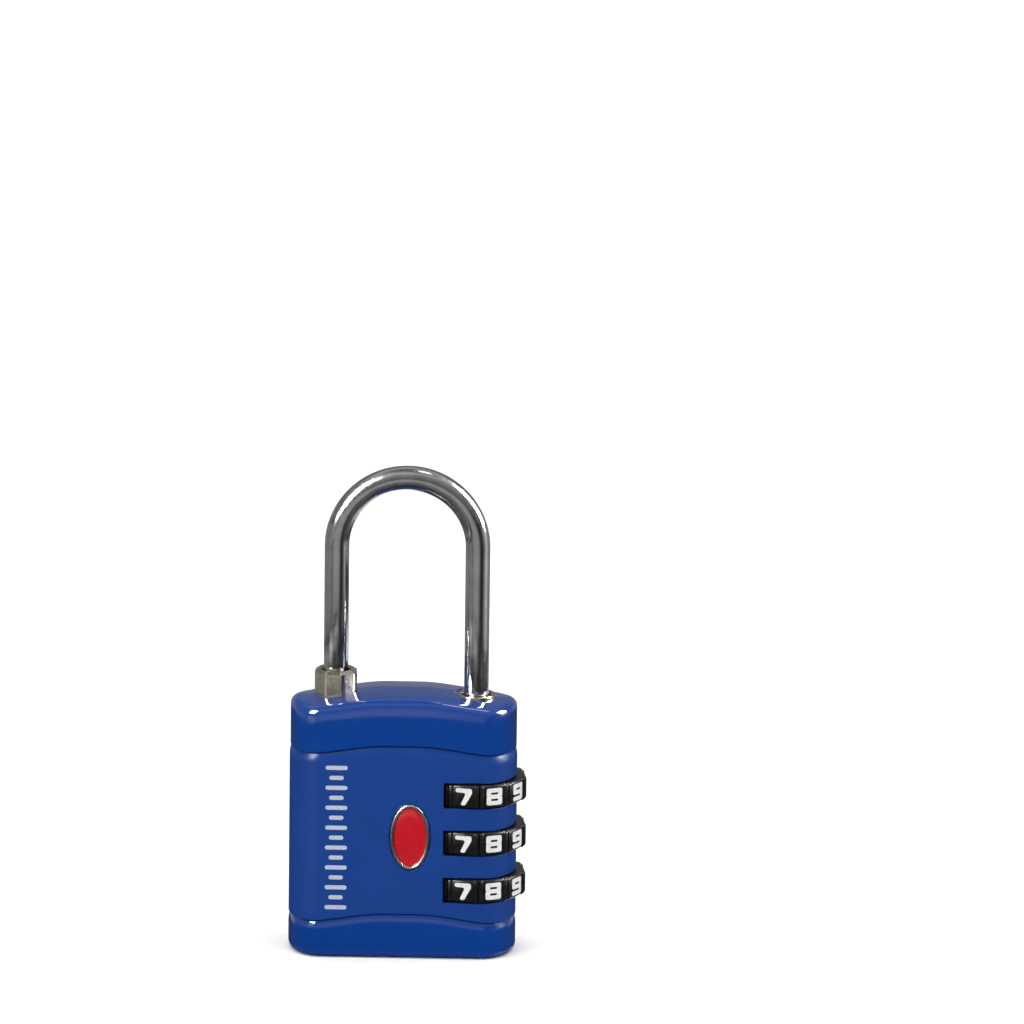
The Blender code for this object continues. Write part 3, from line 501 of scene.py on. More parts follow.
def lathe(bm, profile, steps=TURN_STEPS, centre=(0.0, 0.0)):
    """Turns (radius, z) points about a vertical axis. A profile that starts and ends on the axis is
    a solid one; any other is closed into a ring. It runs up the outer side."""
    solid = profile[0][0] == 0.0
    turned = profile[1:-1] if solid else profile
    rings = [
        [
            (centre[0] + r * cos(2 * pi * i / steps), centre[1] + r * sin(2 * pi * i / steps), z)
            for i in range(steps)
        ]
        for r, z in turned
    ]
    rows = add_rings(bm, rings, closed=not solid)
    if solid:
        bm.faces.new(reversed(rows[0]))
        bm.faces.new(rows[-1])
    return bm


def prism(bm, outline, low, high):
    """A straight prism on an anticlockwise outline."""
    rows = add_rings(bm, [[(x, y, z) for x, y in outline] for z in (low, high)])
    bm.faces.new(reversed(rows[0]))
    bm.faces.new(rows[1])
    return bm


def box(bm, x, y, z):
    return prism(bm, ((x[0], y[0]), (x[1], y[0]), (x[1], y[1]), (x[0], y[1])), z[0], z[1])


def face_forwards(bm):
    """Turns what was built upright: its +Z side then faces the front, -Y, and its +Y side is up."""
    bmesh.ops.rotate(bm, verts=bm.verts, matrix=Matrix.Rotation(radians(90.0), 3, "X"))
    return bm


def shifted(bm, x=0.0, y=0.0, z=0.0):
    bmesh.ops.translate(bm, verts=bm.verts, vec=(x, y, z))
    return bm


def ellipse(half_x, half_y, steps=BADGE_STEPS):
    return [
        (half_x * cos(2 * pi * i / steps), half_y * sin(2 * pi * i / steps)) for i in range(steps)
    ]


def spaced(start, end, pitch):
    """Evenly spaced values from start to end, no further apart than the pitch."""
    count = max(1, round(abs(end - start) / pitch))
    return [start + (end - start) * i / count for i in range(count + 1)]


def smoothstep(t):
    t = min(max(t, 0.0), 1.0)
    return t * t * (3.0 - 2.0 * t)


# ---------------------------------------------------------------- body shells

def arch(x):
    """How far the top and the seams have dropped at x, below their height in the middle."""
    return ARCH_DROP * smoothstep((abs(x) - ARCH_FLAT) / ARCH_RUN)


def front_outline():
    """The front half of the plan outline, from its left end to its right end."""
    side = [
        (
            FLAT_HALF + (HALF_WIDTH - FLAT_HALF) * cos(radians(90.0) * k / SIDE_STEPS),
            -HALF_DEPTH * sin(radians(90.0) * k / SIDE_STEPS),
        )
        for k in range(SIDE_STEPS + 1)
    ]
    flat_x = spaced(-FLAT_HALF, WINDOW_START_X, COLUMN_PITCH)[1:]
    flat_x += spaced(WINDOW_START_X, FLAT_HALF, COLUMN_PITCH)[1:-1]
    return [(-x, y) for x, y in side] + [(x, -HALF_DEPTH) for x in flat_x] + side[::-1]


OUTLINE = front_outline()
HALF_COUNT = len(OUTLINE) - 1
OUTLINE += [(x, -y) for x, y in OUTLINE[-2:0:-1]]


def ring_point(x, y, inset):
    side_x = max(abs(x) - FLAT_HALF, 0.0)
    side_half = HALF_WIDTH - FLAT_HALF
    px = min(abs(x), FLAT_HALF) + side_x * (side_half - inset) / side_half
    return (px if x > 0.0 else -px), y * (HALF_DEPTH - inset) / HALF_DEPTH


def body_ring(inset_at, height_at):
    """A closed ring. The inset is a function of the outline's own y, and the height one of the
    point that it gives and of that y."""
    ring = []
    for x, y in OUTLINE:
        px, py = ring_point(x, y, inset_at(y))
        ring.append((px, py, height_at(px, py, y)))
    return ring


def plain_ring(level, follow=1.0, inset=0.0):
    return body_ring(lambda y: inset, lambda px, py, y: level - follow * arch(px))


def lip_rings(level):
    """The soft roll below a seam, weaker towards the body's left and right ends."""
    def share(y):
        return LIP_AT_SIDE + (1.0 - LIP_AT_SIDE) * smoothstep(LIP_FADE * abs(y) / HALF_DEPTH)

    rings = []
    for k in range(EDGE_STEPS + 1):
        angle = radians(LIP_ANGLE) * k / EDGE_STEPS
        drop = LIP_R * (sin(radians(LIP_ANGLE)) - sin(angle))
        rings.append(
            body_ring(
                lambda y, a=angle: LIP_R * (1.0 - cos(a)) * share(y),
                lambda px, py, y, d=drop: level - d - arch(px),
            )
        )
    return rings


def blend_rings(low, high, low_follow, high_follow):
    """Rings between two levels, both left out, that go from one share of the arch to another."""
    levels = spaced(low, high, ROW_PITCH)
    rings = []
    for level in levels[1:-1]:
        t = (level - low) / (high - low)
        rings.append(plain_ring(level, low_follow + (high_follow - low_follow) * t))
    return rings


def fill_between(bm, row, height_at, up, steps):
    """Closes a ring with a grid of strips that run from front to rear."""
    front = row[: HALF_COUNT + 1]
    rear = [row[0]] + row[: HALF_COUNT - 1 : -1]
    columns = []
    for near, far in zip(front, rear):
        if near is far:
            columns.append([near] * (steps + 1))
            continue
        column = [near]
        for k in range(1, steps):
            x, y, _ = near.co.lerp(far.co, k / steps)
            column.append(bm.verts.new((x, y, height_at(x, y))))
        columns.append(column + [far])
    for left, right in zip(columns, columns[1:]):
        for k in range(steps):
            corners = [left[k], right[k], right[k + 1], left[k + 1]]
            unique = list(dict.fromkeys(corners))
            bm.faces.new(unique if up else unique[::-1])


def keep_half(bm, side):
    """Leaves the front or the rear half of a shell, back from the parting plane."""
    sign = -1.0 if side == "front" else 1.0
    geometry = bm.verts[:] + bm.edges[:] + bm.faces[:]
    bmesh.ops.bisect_plane(
        bm,
        geom=geometry,
        plane_co=(0.0, sign * PARTING / 2, 0.0),
        plane_no=(0.0, -sign, 0.0),
        clear_outer=True,
    )
    return bm


def top_height(x, y):
    return BODY_TOP - arch(x) - TOP_CROWN * (y / HALF_DEPTH) ** 2


def top_cap_surface():
    def radius(y):
        return TOP_FRONT_EDGE + (TOP_REAR_EDGE - TOP_FRONT_EDGE) * smoothstep(y / HALF_DEPTH)

    low = TOP_SEAM + SEAM_GAP / 2
    wall_top = BODY_TOP - TOP_REAR_EDGE - TOP_CROWN - ROW_PITCH
    rings = [plain_ring(level, 1.0, CAP_INSET) for level in spaced(low, wall_top, ROW_PITCH)]
    for k in range(EDGE_STEPS + 1):
        angle = radians(90.0) * k / EDGE_STEPS
        rings.append(
            body_ring(
                lambda y, a=angle: CAP_INSET + radius(y) * (1.0 - cos(a)),
                lambda px, py, y, a=angle: top_height(px, py) - radius(y) * (1.0 - sin(a)),
            )
        )
    bm = bmesh.new()
    rows = add_rings(bm, rings)
    fill_between(bm, rows[-1], top_height, up=True, steps=FILL_STEPS)
    return bm


def window_spans():
    half = WINDOW_HEIGHT / 2
    heights = [middle_mm(f"dial_{name}").z for name in reversed(DIAL_NAMES)]
    return [(z - half, z + half) for z in heights]


def panel_surface():
    spans = window_spans()
    low = BOTTOM_SEAM + SEAM_GAP / 2
    lip_low = TOP_SEAM - SEAM_GAP / 2 - LIP_R * sin(radians(LIP_ANGLE))
    rings = [plain_ring(low)]
    rings += blend_rings(low, spans[0][0], 1.0, 0.0)
    edges = [z for span in spans for z in span]
    for start, end in zip(edges, edges[1:]):
        rings += [plain_ring(level, 0.0) for level in spaced(start, end, ROW_PITCH)[:-1]]
    rings.append(plain_ring(edges[-1], 0.0))
    rings += blend_rings(edges[-1], lip_low, 0.0, 1.0)
    rings += lip_rings(TOP_SEAM - SEAM_GAP / 2)
    bm = bmesh.new()
    add_rings(bm, rings)

    def in_window(face):
        x, _, z = face.calc_center_median()
        return x > WINDOW_START_X and any(start < z < end for start, end in spans)

    bmesh.ops.delete(bm, geom=[face for face in bm.faces if in_window(face)], context="FACES")
    return bm


def bottom_cap_surface():
    high = BOTTOM_SEAM - SEAM_GAP / 2
    lip_low = high - LIP_R * sin(radians(LIP_ANGLE))
    rings = []
    for k in range(EDGE_STEPS + 1):
        angle = radians(90.0) * k / EDGE_STEPS
        level, inset = (BASE_EDGE * (1.0 - turn(angle)) for turn in (cos, sin))
        rings.append(plain_ring(level, 0.0, inset))
    rings += blend_rings(BASE_EDGE, lip_low, 0.0, 1.0)
    rings += lip_rings(high)
    bm = bmesh.new()
    rows = add_rings(bm, rings)
    fill_between(bm, rows[0], lambda x, y: 0.0, up=False, steps=FILL_STEPS)
    return bm


def collar_outline(flats):
    """Anticlockwise octagon with rounded corners, turned as the collar is."""
    radius = flats / 2 / cos(pi / 8)
    corners = [radians(COLLAR_TURN + 45.0 * i) for i in range(8)]
    return rounded([(radius * cos(a), radius * sin(a)) for a in corners], COLLAR_CORNER_R)


def top_caps(finish):
    hole_low, hole_high = box_mm("collar_nut")[0].z, BODY_TOP + PAST
    outline = [(SHORT_X + x, y) for x, y in collar_outline(COLLAR_FLATS + 2 * FIT)]
    collar_hole = cutter("collar_hole", prism(bmesh.new(), outline, hole_low, hole_high))
    bush_r = box_mm("leg_bush")[1].x - LONG_X + FIT
    profile = ((0, hole_low), (bush_r, hole_low), (bush_r, hole_high), (0, hole_high))
    bush_hole = cutter("bush_hole", lathe(bmesh.new(), profile, centre=(LONG_X, 0.0)))
    for side in ("front", "rear"):
        bm = keep_half(top_cap_surface(), side)
        node = f"{side}_top_cap"
        cap = make_piece(f"{node}_shell", bm, finish, "case", (node,))
        thicken(cap, CAP_WALL)
        soften(cap, SHELL_BEVEL)
        cut(cap, collar_hole, bush_hole)
        bake_modifiers(cap)
    discard(collar_hole, bush_hole)


def panels(finish):
    half_x, half_z = (size + BADGE_GAP for size in BADGE_HALF)
    bm = prism(bmesh.new(), ellipse(half_x, half_z), HALF_DEPTH - 2 * PAST, HALF_DEPTH + PAST)
    badge_hole = cutter("badge_hole", shifted(face_forwards(bm), BADGE.x, 0.0, BADGE.z))
    for side in ("front", "rear"):
        bm = keep_half(panel_surface(), side)
        node = f"{side}_panel"
        panel = make_piece(f"{node}_shell", bm, finish, "case", (node,))
        thicken(panel, PANEL_WALL)
        bake_modifiers(panel)
        soften_windows(panel)
        soften(panel, SHELL_BEVEL)
        if side == "front":
            cut(panel, badge_hole)
        bake_modifiers(panel)
    discard(badge_hole)


def bottom_cap(finish):
    low, high = -PAST, PLUG_HOLE_TOP
    profile = ((0, low), (PLUG_HOLE_R, low), (PLUG_HOLE_R, high), (0, high))
    plug_hole = cutter("plug_hole", lathe(bmesh.new(), profile, centre=(KEY_X, 0.0)))
    bm = bottom_cap_surface()
    cap = make_piece("bottom_cap_shell", bm, finish, "case", ("bottom_cap",))
    thicken(cap, CAP_WALL)
    soften(cap, SHELL_BEVEL)
    cut(cap, plug_hole)
    bake_modifiers(cap)
    discard(plug_hole)


# ---------------------------------------------------------------- shackle and fittings

def wire_ring(point, heading, radius, along=0.0):
    """A ring round the wire at a point of its path, moved along it."""
    forward = Vector((cos(heading), 0.0, sin(heading)))
    side = Vector((sin(heading), 0.0, -cos(heading)))
    centre = Vector((point[0], 0.0, point[1])) + forward * along
    return [
        centre
        + side * radius * cos(2 * pi * i / WIRE_SIDES)
        + Vector((0.0, 1.0, 0.0)) * radius * sin(2 * pi * i / WIRE_SIDES)
        for i in range(WIRE_SIDES)
    ]


def shackle(finish):
    chamfer, chamfer_steps = 0.4, 5
    middle = (LONG_X + SHORT_X) / 2
    start, end = (LONG_X, SHACKLE_LOW), (SHORT_X, TOE_END)

    def end_radius(k):
        return WIRE_R - chamfer * (1.0 - sin(radians(90.0) * k / chamfer_steps))

    def end_along(k):
        return chamfer * (1.0 - cos(radians(90.0) * k / chamfer_steps))

    rings = [
        wire_ring(start, pi / 2, end_radius(k), end_along(k)) for k in range(chamfer_steps + 1)
    ]
    for k in range(BEND_STEPS + 1):
        angle = pi * k / BEND_STEPS
        point = (middle + BEND_R * cos(angle), BEND_Z + BEND_R * sin(angle))
        rings.append(wire_ring(point, angle + pi / 2, WIRE_R))
    rings += [
        wire_ring(end, -pi / 2, end_radius(k), -end_along(k))
        for k in reversed(range(chamfer_steps + 1))
    ]
    bm = bmesh.new()
    rows = add_rings(bm, rings)
    bm.faces.new(reversed(rows[0]))
    bm.faces.new(rows[-1])
    bow = make_piece("shackle_bow", bm, finish, "shackle", ("shackle",))

    fins = bmesh.new()
    for i in range(len(DIAL_NAMES)):
        top = FIN_TOP_Z - i * DIAL_PITCH
        half = FIN_WIDTH / 2
        box(fins, (LONG_X + WIRE_R / 2, LONG_X + FIN_R), (-half, half), (top - FIN_HEIGHT, top))
    fin_solid = cutter("fins", fins)
    flat = bmesh.new()
    clear = 2 * WIRE_R
    box(flat, (TOE_FLAT_X, SHORT_X + clear), (-clear, clear), (TOE_END - PAST, TOE_FLAT_TOP))
    flat_cutter = cutter("toe_flat", flat)
    cut(bow, fin_solid, operation="UNION")
    cut(bow, flat_cutter)
    bake_modifiers(bow)
    discard(fin_solid, flat_cutter)


def collar_nut(finish):
    """Eight-sided collar with a chamfered top, bored for the short leg."""
    low, high = (corner.z for corner in box_mm("collar_nut"))
    lead = 0.3
    outer = collar_outline(COLLAR_FLATS)
    shrink = (COLLAR_FLATS - 2 * COLLAR_CHAMFER) / COLLAR_FLATS
    bore = [(cos(atan2(y, x)), sin(atan2(y, x))) for x, y in outer]
    rings = [
        [(x * LEG_BORE_R, y * LEG_BORE_R, low) for x, y in bore],
        [(x, y, low) for x, y in outer],
        [(x, y, high - COLLAR_CHAMFER * 0.7) for x, y in outer],
        [(x * shrink, y * shrink, high) for x, y in outer],
        [(x * (LEG_BORE_R + lead), y * (LEG_BORE_R + lead), high) for x, y in bore],
        [(x * LEG_BORE_R, y * LEG_BORE_R, high - lead) for x, y in bore],
    ]
    bm = bmesh.new()
    add_rings(bm, rings, closed=True)
    shifted(bm, SHORT_X)
    make_piece("collar", bm, finish, "case", ("collar_nut",), 20.0)


def leg_bush(finish):
    low, high = (corner.z for corner in box_mm("leg_bush"))
    outer_r = box_mm("leg_bush")[1].x - LONG_X
    edge, steps = 0.22, 5
    profile = [(LEG_BORE_R, low), (outer_r, low)]
    for k in range(steps + 1):
        angle = radians(90.0) * k / steps
        profile.append((outer_r - edge * (1.0 - cos(angle)), high - edge * (1.0 - sin(angle))))
    for k in range(steps + 1):
        angle = radians(90.0) * k / steps
        profile.append((LEG_BORE_R + edge * (1.0 - sin(angle)), high - edge * (1.0 - cos(angle))))
    bm = lathe(bmesh.new(), profile, centre=(LONG_X, 0.0))
    make_piece("long_leg_bush", bm, finish, "case", ("leg_bush",))


# ---------------------------------------------------------------- dials

def dial_radius(offset):
    """Radius at an angle from the middle of a digit's pad: a pad, a ridge and half a groove."""
    offset = abs(offset)
    proud = DIAL_RIDGE_R - DIAL_FACE_R
    rise = smoothstep((offset - RIDGE_START) / RIDGE_RUN)
    groove = smoothstep((offset - GROOVE_START) / GROOVE_RUN)
    return DIAL_FACE_R + proud * rise - GROOVE_DEPTH * proud * groove


def dial_angles():
    sector = 360.0 / DIGITS
    half_sector = sector / 2
    offsets = spaced(-PAD_HALF, PAD_HALF, 2.0)
    side = spaced(RIDGE_START, RIDGE_TOP, 0.32)
    side += spaced(RIDGE_TOP, GROOVE_START, 0.9)[1:]
    side += spaced(GROOVE_START, half_sector, 0.22)[1:-1]
    offsets = [-a for a in reversed(side)] + offsets + side + [half_sector]
    return [
        (FIRST_DIGIT_ANGLE + sector * digit + offset, dial_radius(offset))
        for digit in range(DIGITS)
        for offset in offsets
    ]


def dial(name, finish):
    """A wheel with ten pads and chamfered rims, bored for its sleeve."""
    half, chamfer, steps = DIAL_HEIGHT / 2, 0.28, 4
    z = middle_mm(f"dial_{name}").z
    angles = dial_angles()
    profile = [(chamfer, -half)]
    for k in range(1, steps + 1):
        profile.append((chamfer * (1 - k / steps) ** 1.5, -half + chamfer * k / steps))
    profile += [(drop, -height) for drop, height in reversed(profile)]

    def ring(height, radius_at):
        return [
            (radius_at(r) * cos(radians(a)), radius_at(r) * sin(radians(a)), height)
            for a, r in angles
        ]

    rings = [ring(-half, lambda r: DIAL_BORE_R)]
    rings += [ring(height, lambda r, d=drop: r - d) for drop, height in profile]
    rings.append([(x, y, half) for x, y, _ in rings[0]])
    bm = bmesh.new()
    add_rings(bm, rings, closed=True)
    shifted(bm, DIALS_X, 0.0, z)
    body = f"dial_{name}"
    make_piece(f"dial_{name}_wheel", bm, finish, body, (f"dial_{name}",), 30.0)


def digit_outlines():
    """Outline and holes of each digit, on a grid of two upright and three level strokes."""
    left, right = -DIGIT_HALF_WIDTH, DIGIT_HALF_WIDTH
    low, top = -DIGIT_HALF_HEIGHT, DIGIT_HALF_HEIGHT
    inner_left, inner_right = left + DIGIT_STROKE, right - DIGIT_STROKE
    level_stroke = DIGIT_STROKE * 0.93
    under_top, over_low = top - level_stroke, low + level_stroke
    bar_top, bar_low = level_stroke / 2, -level_stroke / 2
    waist = 0.12

    def hole(bottom, ceiling):
        sides = (inner_left, bottom, ceiling), (inner_right, ceiling, bottom)
        return [(x, z) for x, *ends in sides for z in ends]

    upper_hole, lower_hole = hole(bar_top, under_top), hole(over_low, bar_low)
    return {
        0: ([(left, low), (right, low), (right, top), (left, top)], hole(over_low, under_top)),
        1: (
            [
                (-0.1, low), (0.62, low), (0.62, top), (0.1, top),
                (-0.62, under_top), (-0.62, bar_top), (-0.1, bar_top + 0.2),
            ],
        ),
        2: (
            [
                (left, low), (right, low), (right, over_low), (inner_left, over_low),
                (inner_left, bar_low), (right, bar_low), (right, top), (left, top),
                (left, under_top), (inner_right, under_top), (inner_right, bar_top),
                (left, bar_top),
            ],
        ),
        3: (
            [
                (left, low), (right, low), (right, top), (left, top), (left, under_top),
                (inner_right, under_top), (inner_right, bar_top), (inner_left, bar_top),
                (inner_left, bar_low), (inner_right, bar_low), (inner_right, over_low),
                (left, over_low),
            ],
        ),
        4: (
            [
                (inner_right, low), (right, low), (right, top), (inner_right, top),
                (inner_right, bar_top), (inner_left, bar_top), (inner_left, top), (left, top),
                (left, bar_low - 0.1), (inner_right, bar_low - 0.1),
            ],
        ),
        5: (
            [
                (left, low), (right, low), (right, bar_top), (inner_left, bar_top),
                (inner_left, under_top), (right, under_top), (right, top), (left, top),
                (left, bar_low), (inner_right, bar_low), (inner_right, over_low), (left, over_low),
            ],
        ),
        6: (
            [
                (left, low), (right, low), (right, bar_top), (inner_left, bar_top),
                (inner_left, under_top), (right, under_top), (right, top), (left, top),
            ],
            lower_hole,
        ),
        7: (
            [
                (-0.44, low), (0.2, low), (right, 0.5), (right, top), (left, top),
                (left, under_top), (0.34, under_top),
            ],
        ),
        8: (
            [
                (left, low), (right, low), (right, -waist), (right - 0.1, 0.02),
                (right, 0.02 + waist), (right, top), (left, top), (left, 0.02 + waist),
                (left + 0.1, 0.02), (left, -waist),
            ],
            upper_hole,
            lower_hole,
        ),
        9: (
            [
                (left, low), (right, low), (right, top), (left, top), (left, bar_low),
                (inner_right, bar_low), (inner_right, over_low), (left, over_low),
            ],
            upper_hole,
        ),
    }


def rounded(points, radius, pitch=0.16):
    """A closed outline with rounded corners, as points no further apart than the pitch."""
    count = len(points)
    corners = [Vector(point) for point in points]
    path = []
    for i, corner in enumerate(corners):
        before = corners[i - 1] - corner
        after = corners[(i + 1) % count] - corner
        half_angle = before.angle(after) / 2
        slope = max(abs(sin(half_angle) / cos(half_angle)), 0.2)
        reach = min(radius / slope, 0.48 * before.length, 0.48 * after.length)
        first = corner + before.normalized() * reach
        last = corner + after.normalized() * reach
        for k in range(5):
            t = k / 4
            path.append(first * (1 - t) ** 2 + corner * 2 * t * (1 - t) + last * t**2)
    dense = []
    for point, following in zip(path, path[1:] + path[:1]):
        step = pitch / max((following - point).length, 1e-6)
        dense += [point.lerp(following, t) for t in spaced(0.0, 1.0, step)[:-1]]
    return dense


def plate(bm, loops, low, high):
    """A flat plate with holes: the first loop is its outline and the others are its holes."""
    levels = []
    for z in (low, high):
        rows = [[bm.verts.new((x, y, z)) for x, y in loop] for loop in loops]
        edges = [
            bm.edges.new((row[i], row[(i + 1) % len(row)])) for row in rows for i in range(len(row))
        ]
        bmesh.ops.triangle_fill(bm, edges=edges, use_beauty=True, use_dissolve=False)
        levels.append(rows)
    for lower, upper in zip(*levels):
        for i in range(len(lower)):
            j = (i + 1) % len(lower)
            bm.faces.new((lower[i], lower[j], upper[j], upper[i]))
    bmesh.ops.recalc_face_normals(bm, faces=bm.faces)
    return bm


def wrapped_digit(bm, digit, angle):
    """Adds a digit, wrapped round the dial's face with its middle at the angle."""
    outline, *holes = digit_outlines()[digit]
    loops = [rounded(outline, DIGIT_CORNER_R)]
    loops += [rounded(hole, DIGIT_HOLE_CORNER_R) for hole in holes]
    flat = plate(bmesh.new(), loops, -DIGIT_SUNK, DIGIT_PROUD)
    for vert in flat.verts:
        u, v, proud = vert.co
        radius = DIAL_FACE_R + proud
        turn = radians(angle) + u / DIAL_FACE_R
        vert.co = (radius * cos(turn), radius * sin(turn), v)
    mesh = bpy.data.meshes.new("digit")
    flat.to_mesh(mesh)
    flat.free()
    bm.from_mesh(mesh)
    bpy.data.meshes.remove(mesh)


def dial_digits(name, finish):
    """The ten digits painted on a dial, as one piece."""
    bm = bmesh.new()
    for place in range(DIGITS):
        angle = FIRST_DIGIT_ANGLE + 360.0 / DIGITS * place
        wrapped_digit(bm, (FIRST_DIGIT + place) % DIGITS, angle)
    shifted(bm, DIALS_X, 0.0, middle_mm(f"dial_{name}").z)
    make_piece(f"dial_{name}_digits", bm, finish, f"dial_{name}")


# ---------------------------------------------------------------- key plug, badge, printed mark

def key_plug(finish):
    low, high = (corner.z for corner in box_mm("key_plug"))
    radius, edge, steps = 2.8, 0.2, 4
    shoulder, tail_r = 12.7, 1.1
    profile = [(0, low)]
    for k in range(steps + 1):
        angle = radians(90.0) * k / steps
        profile.append((radius - edge * (1.0 - sin(angle)), low + edge * (1.0 - cos(angle))))
    profile += [(radius, shoulder), (tail_r, shoulder), (tail_r, high), (0, high)]
    bm = lathe(bmesh.new(), profile, centre=(KEY_X, 0.0))
    plug = make_piece("key_plug_face", bm, finish, "key_plug", ("key_plug",))
    wafer_low, wafer_high = box_mm("wafer_1")[0].z, box_mm("wafer_4")[1].z

    def slot(name, half, bottom, top):
        half_x, half_y = half
        x = (KEY_X - half_x, KEY_X + half_x)
        return cutter(name, box(bmesh.new(), x, (-half_y, half_y), (bottom, top)))

    keyway = slot("keyway", KEYWAY_HALF, low - PAST, wafer_high + PAST)
    room = slot("wafer_room", WAFER_ROOM_HALF, wafer_low - WAFER_GAP, wafer_high + WAFER_GAP)
    cut(plug, keyway, room)
    bake_modifiers(plug)
    discard(keyway, room)


def badge(rim_finish, insert_finish):
    """An oval rim with a domed insert."""
    back = HALF_DEPTH - BADGE_SUNK
    half_x, half_z = BADGE_HALF
    steps = 5
    profile = [(BADGE_RIM, back), (0.0, back)]
    for k in range(2 * steps + 1):
        angle = radians(180.0) * k / (2 * steps)
        height = HALF_DEPTH + 0.02 + RIM_PROUD * sin(angle)
        profile.append((BADGE_RIM / 2 * (1.0 - cos(angle)), height))
    rings = [
        [(x, y, z) for x, y in ellipse(half_x - inset, half_z - inset)] for inset, z in profile
    ]
    bm = bmesh.new()
    add_rings(bm, rings, closed=True)
    shifted(face_forwards(bm), BADGE.x, 0.0, BADGE.z)
    make_piece("badge_oval_rim", bm, rim_finish, "case", ("badge_rim",))

    fit_x, fit_z = (half - BADGE_RIM - DOME_GAP for half in BADGE_HALF)
    dome_steps = 12
    rings = [[(x, y, back) for x, y in ellipse(fit_x, fit_z)]]
    for k in range(dome_steps):
        share = 1.0 - k / dome_steps
        height = HALF_DEPTH - DOME_SEAT + DOME_RISE * sqrt(1.0 - share**2)
        rings.append([(x * share, y * share, height) for x, y in ellipse(fit_x, fit_z)])
    bm = bmesh.new()
    rows = add_rings(bm, rings)
    bm.faces.new(reversed(rows[0]))
    bm.faces.new(rows[-1])
    shifted(face_forwards(bm), BADGE.x, 0.0, BADGE.z)
    make_piece("badge_dome", bm, insert_finish, "case", ("badge_insert",))


def printed_mark(finish):
    """A plain column of round-ended dashes, long and short in turn."""
    bm = bmesh.new()
    for i in range(MARK_COUNT):
        z = MARK_Z[0] + (MARK_Z[1] - MARK_Z[0]) * i / (MARK_COUNT - 1)
        half, radius = MARK_WIDTHS[i % 2] / 2, MARK_STROKE / 2
        outline = []
        for k in range(17):
            angle = radians(180.0) * k / 16 - pi / 2
            outline.append((half - radius + radius * cos(angle), radius * sin(angle)))
        outline += [(-x, -y) for x, y in outline]
        placed = [(MARK_X + x, z + y) for x, y in outline]
        prism(bm, placed, HALF_DEPTH - 0.1, HALF_DEPTH + MARK_PROUD)
    make_piece("panel_mark", face_forwards(bm), finish, "case")


def numbered(name, count):
    return tuple(f"{name}_{i + 1}" for i in range(count))


def dress_cad_nodes(finishes):
    """Finishes for the works inside, whose own shapes are shown."""
    wanted = {
        "zinc": ("front_chassis", "rear_chassis", "key_cam"),
        "brass": ("key_barrel", *numbered("sleeve", 3), *numbered("wafer", 4)),
        "spring_steel": ("sleeve_spring", "detent_leaf", "release_slide"),
        "steel": numbered("screw", 4),
    }
    for finish, nodes in wanted.items():
        for node in nodes:
            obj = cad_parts[node]
            obj.data.materials.clear()
            obj.data.materials.append(finishes[finish])


# ---------------------------------------------------------------- stage

def direction(azimuth, elevation):
    """A unit vector from the lock. Azimuth 0 is the front and 90 the lock's right."""
    a, e = radians(azimuth), radians(elevation)
    return Vector((sin(a) * cos(e), -cos(a) * cos(e), sin(e)))


def make_floor():
    bm = bmesh.new()
    bmesh.ops.create_grid(bm, x_segments=8, y_segments=8, size=3000.0)
    floor = make_mesh("stage_floor", shifted(bm, 0.0, 0.0, FLOOR_Z))
    floor.data.materials.append(stage_floor())
    floor.visible_glossy = False


def only_in_mirrors(obj):
    """A stage piece that nothing but mirror reflections show."""
    obj.visible_camera = False
    obj.visible_diffuse = False
    obj.visible_transmission = False
    obj.visible_shadow = False


# What the gloss mirrors. The tent is the far surroundings: brightness by elevation, then cards of
# (azimuth, elevation, half width, half height, soft edge) and brightness. The bands stand close
# round the lock, too high for its flat faces to mirror: the upper one gives the shackle its upright
# stripes, and the lower one gives the collar's facets theirs.
SKY = (
    (-90.0, 0.03), (-60.0, 0.05), (-42.0, 0.12), (-28.0, 0.1), (-20.0, 0.035), (-8.0, 0.035),
    (4.0, 0.12), (25.0, 0.2), (45.0, 0.3), (60.0, 0.55), (72.0, 0.3), (80.0, 0.15), (90.0, 0.15),
)
TENT_CARDS = (
    ((115.0, -50.0, 34.0, 16.0, 12.0), 0.7),
    ((168.0, -42.0, 22.0, 18.0, 8.0), 1.6),
    ((180.0, 2.0, 60.0, 8.0, 3.0), 0.46),
    ((180.0, 28.0, 60.0, 18.0, 3.0), 0.19),
)
BANDS = (
    (
        "shackle_band", 110.0, (12.0, 64.0), 0.26,
        (
            ((-8.0, 0.0, 24.0, 90.0, 12.0), 0.38),
            ((-47.0, 0.0, 6.0, 90.0, 8.0), 0.18),
            ((43.0, 0.0, 17.0, 90.0, 12.0), 0.04),
            ((89.0, 0.0, 14.0, 90.0, 14.0), 0.62),
        ),
    ),
    (
        "collar_band", 60.0, (21.3, 24.8), 0.32,
        (
            ((-12.0, 0.0, 18.0, 90.0, 10.0), 0.56),
            ((-54.0, 0.0, 13.0, 90.0, 12.0), 0.85),
            ((34.0, 0.0, 16.0, 90.0, 10.0), 0.04),
            ((100.0, 0.0, 45.0, 90.0, 10.0), 0.08),
        ),
    ),
)


def card_share(azimuth, elevation, card):
    """How much of a card shows in a direction, with soft edges."""
    middle_a, middle_e, half_a, half_e, edge = card
    off_a = abs((azimuth - middle_a + 180.0) % 360.0 - 180.0)
    off_e = abs(elevation - middle_e)
    return smoothstep((half_a - off_a) / edge + 0.5) * smoothstep((half_e - off_e) / edge + 0.5)


def with_cards(value, azimuth, elevation, cards):
    for card, brightness in cards:
        value += (brightness - value) * card_share(azimuth, elevation, card)
    return value


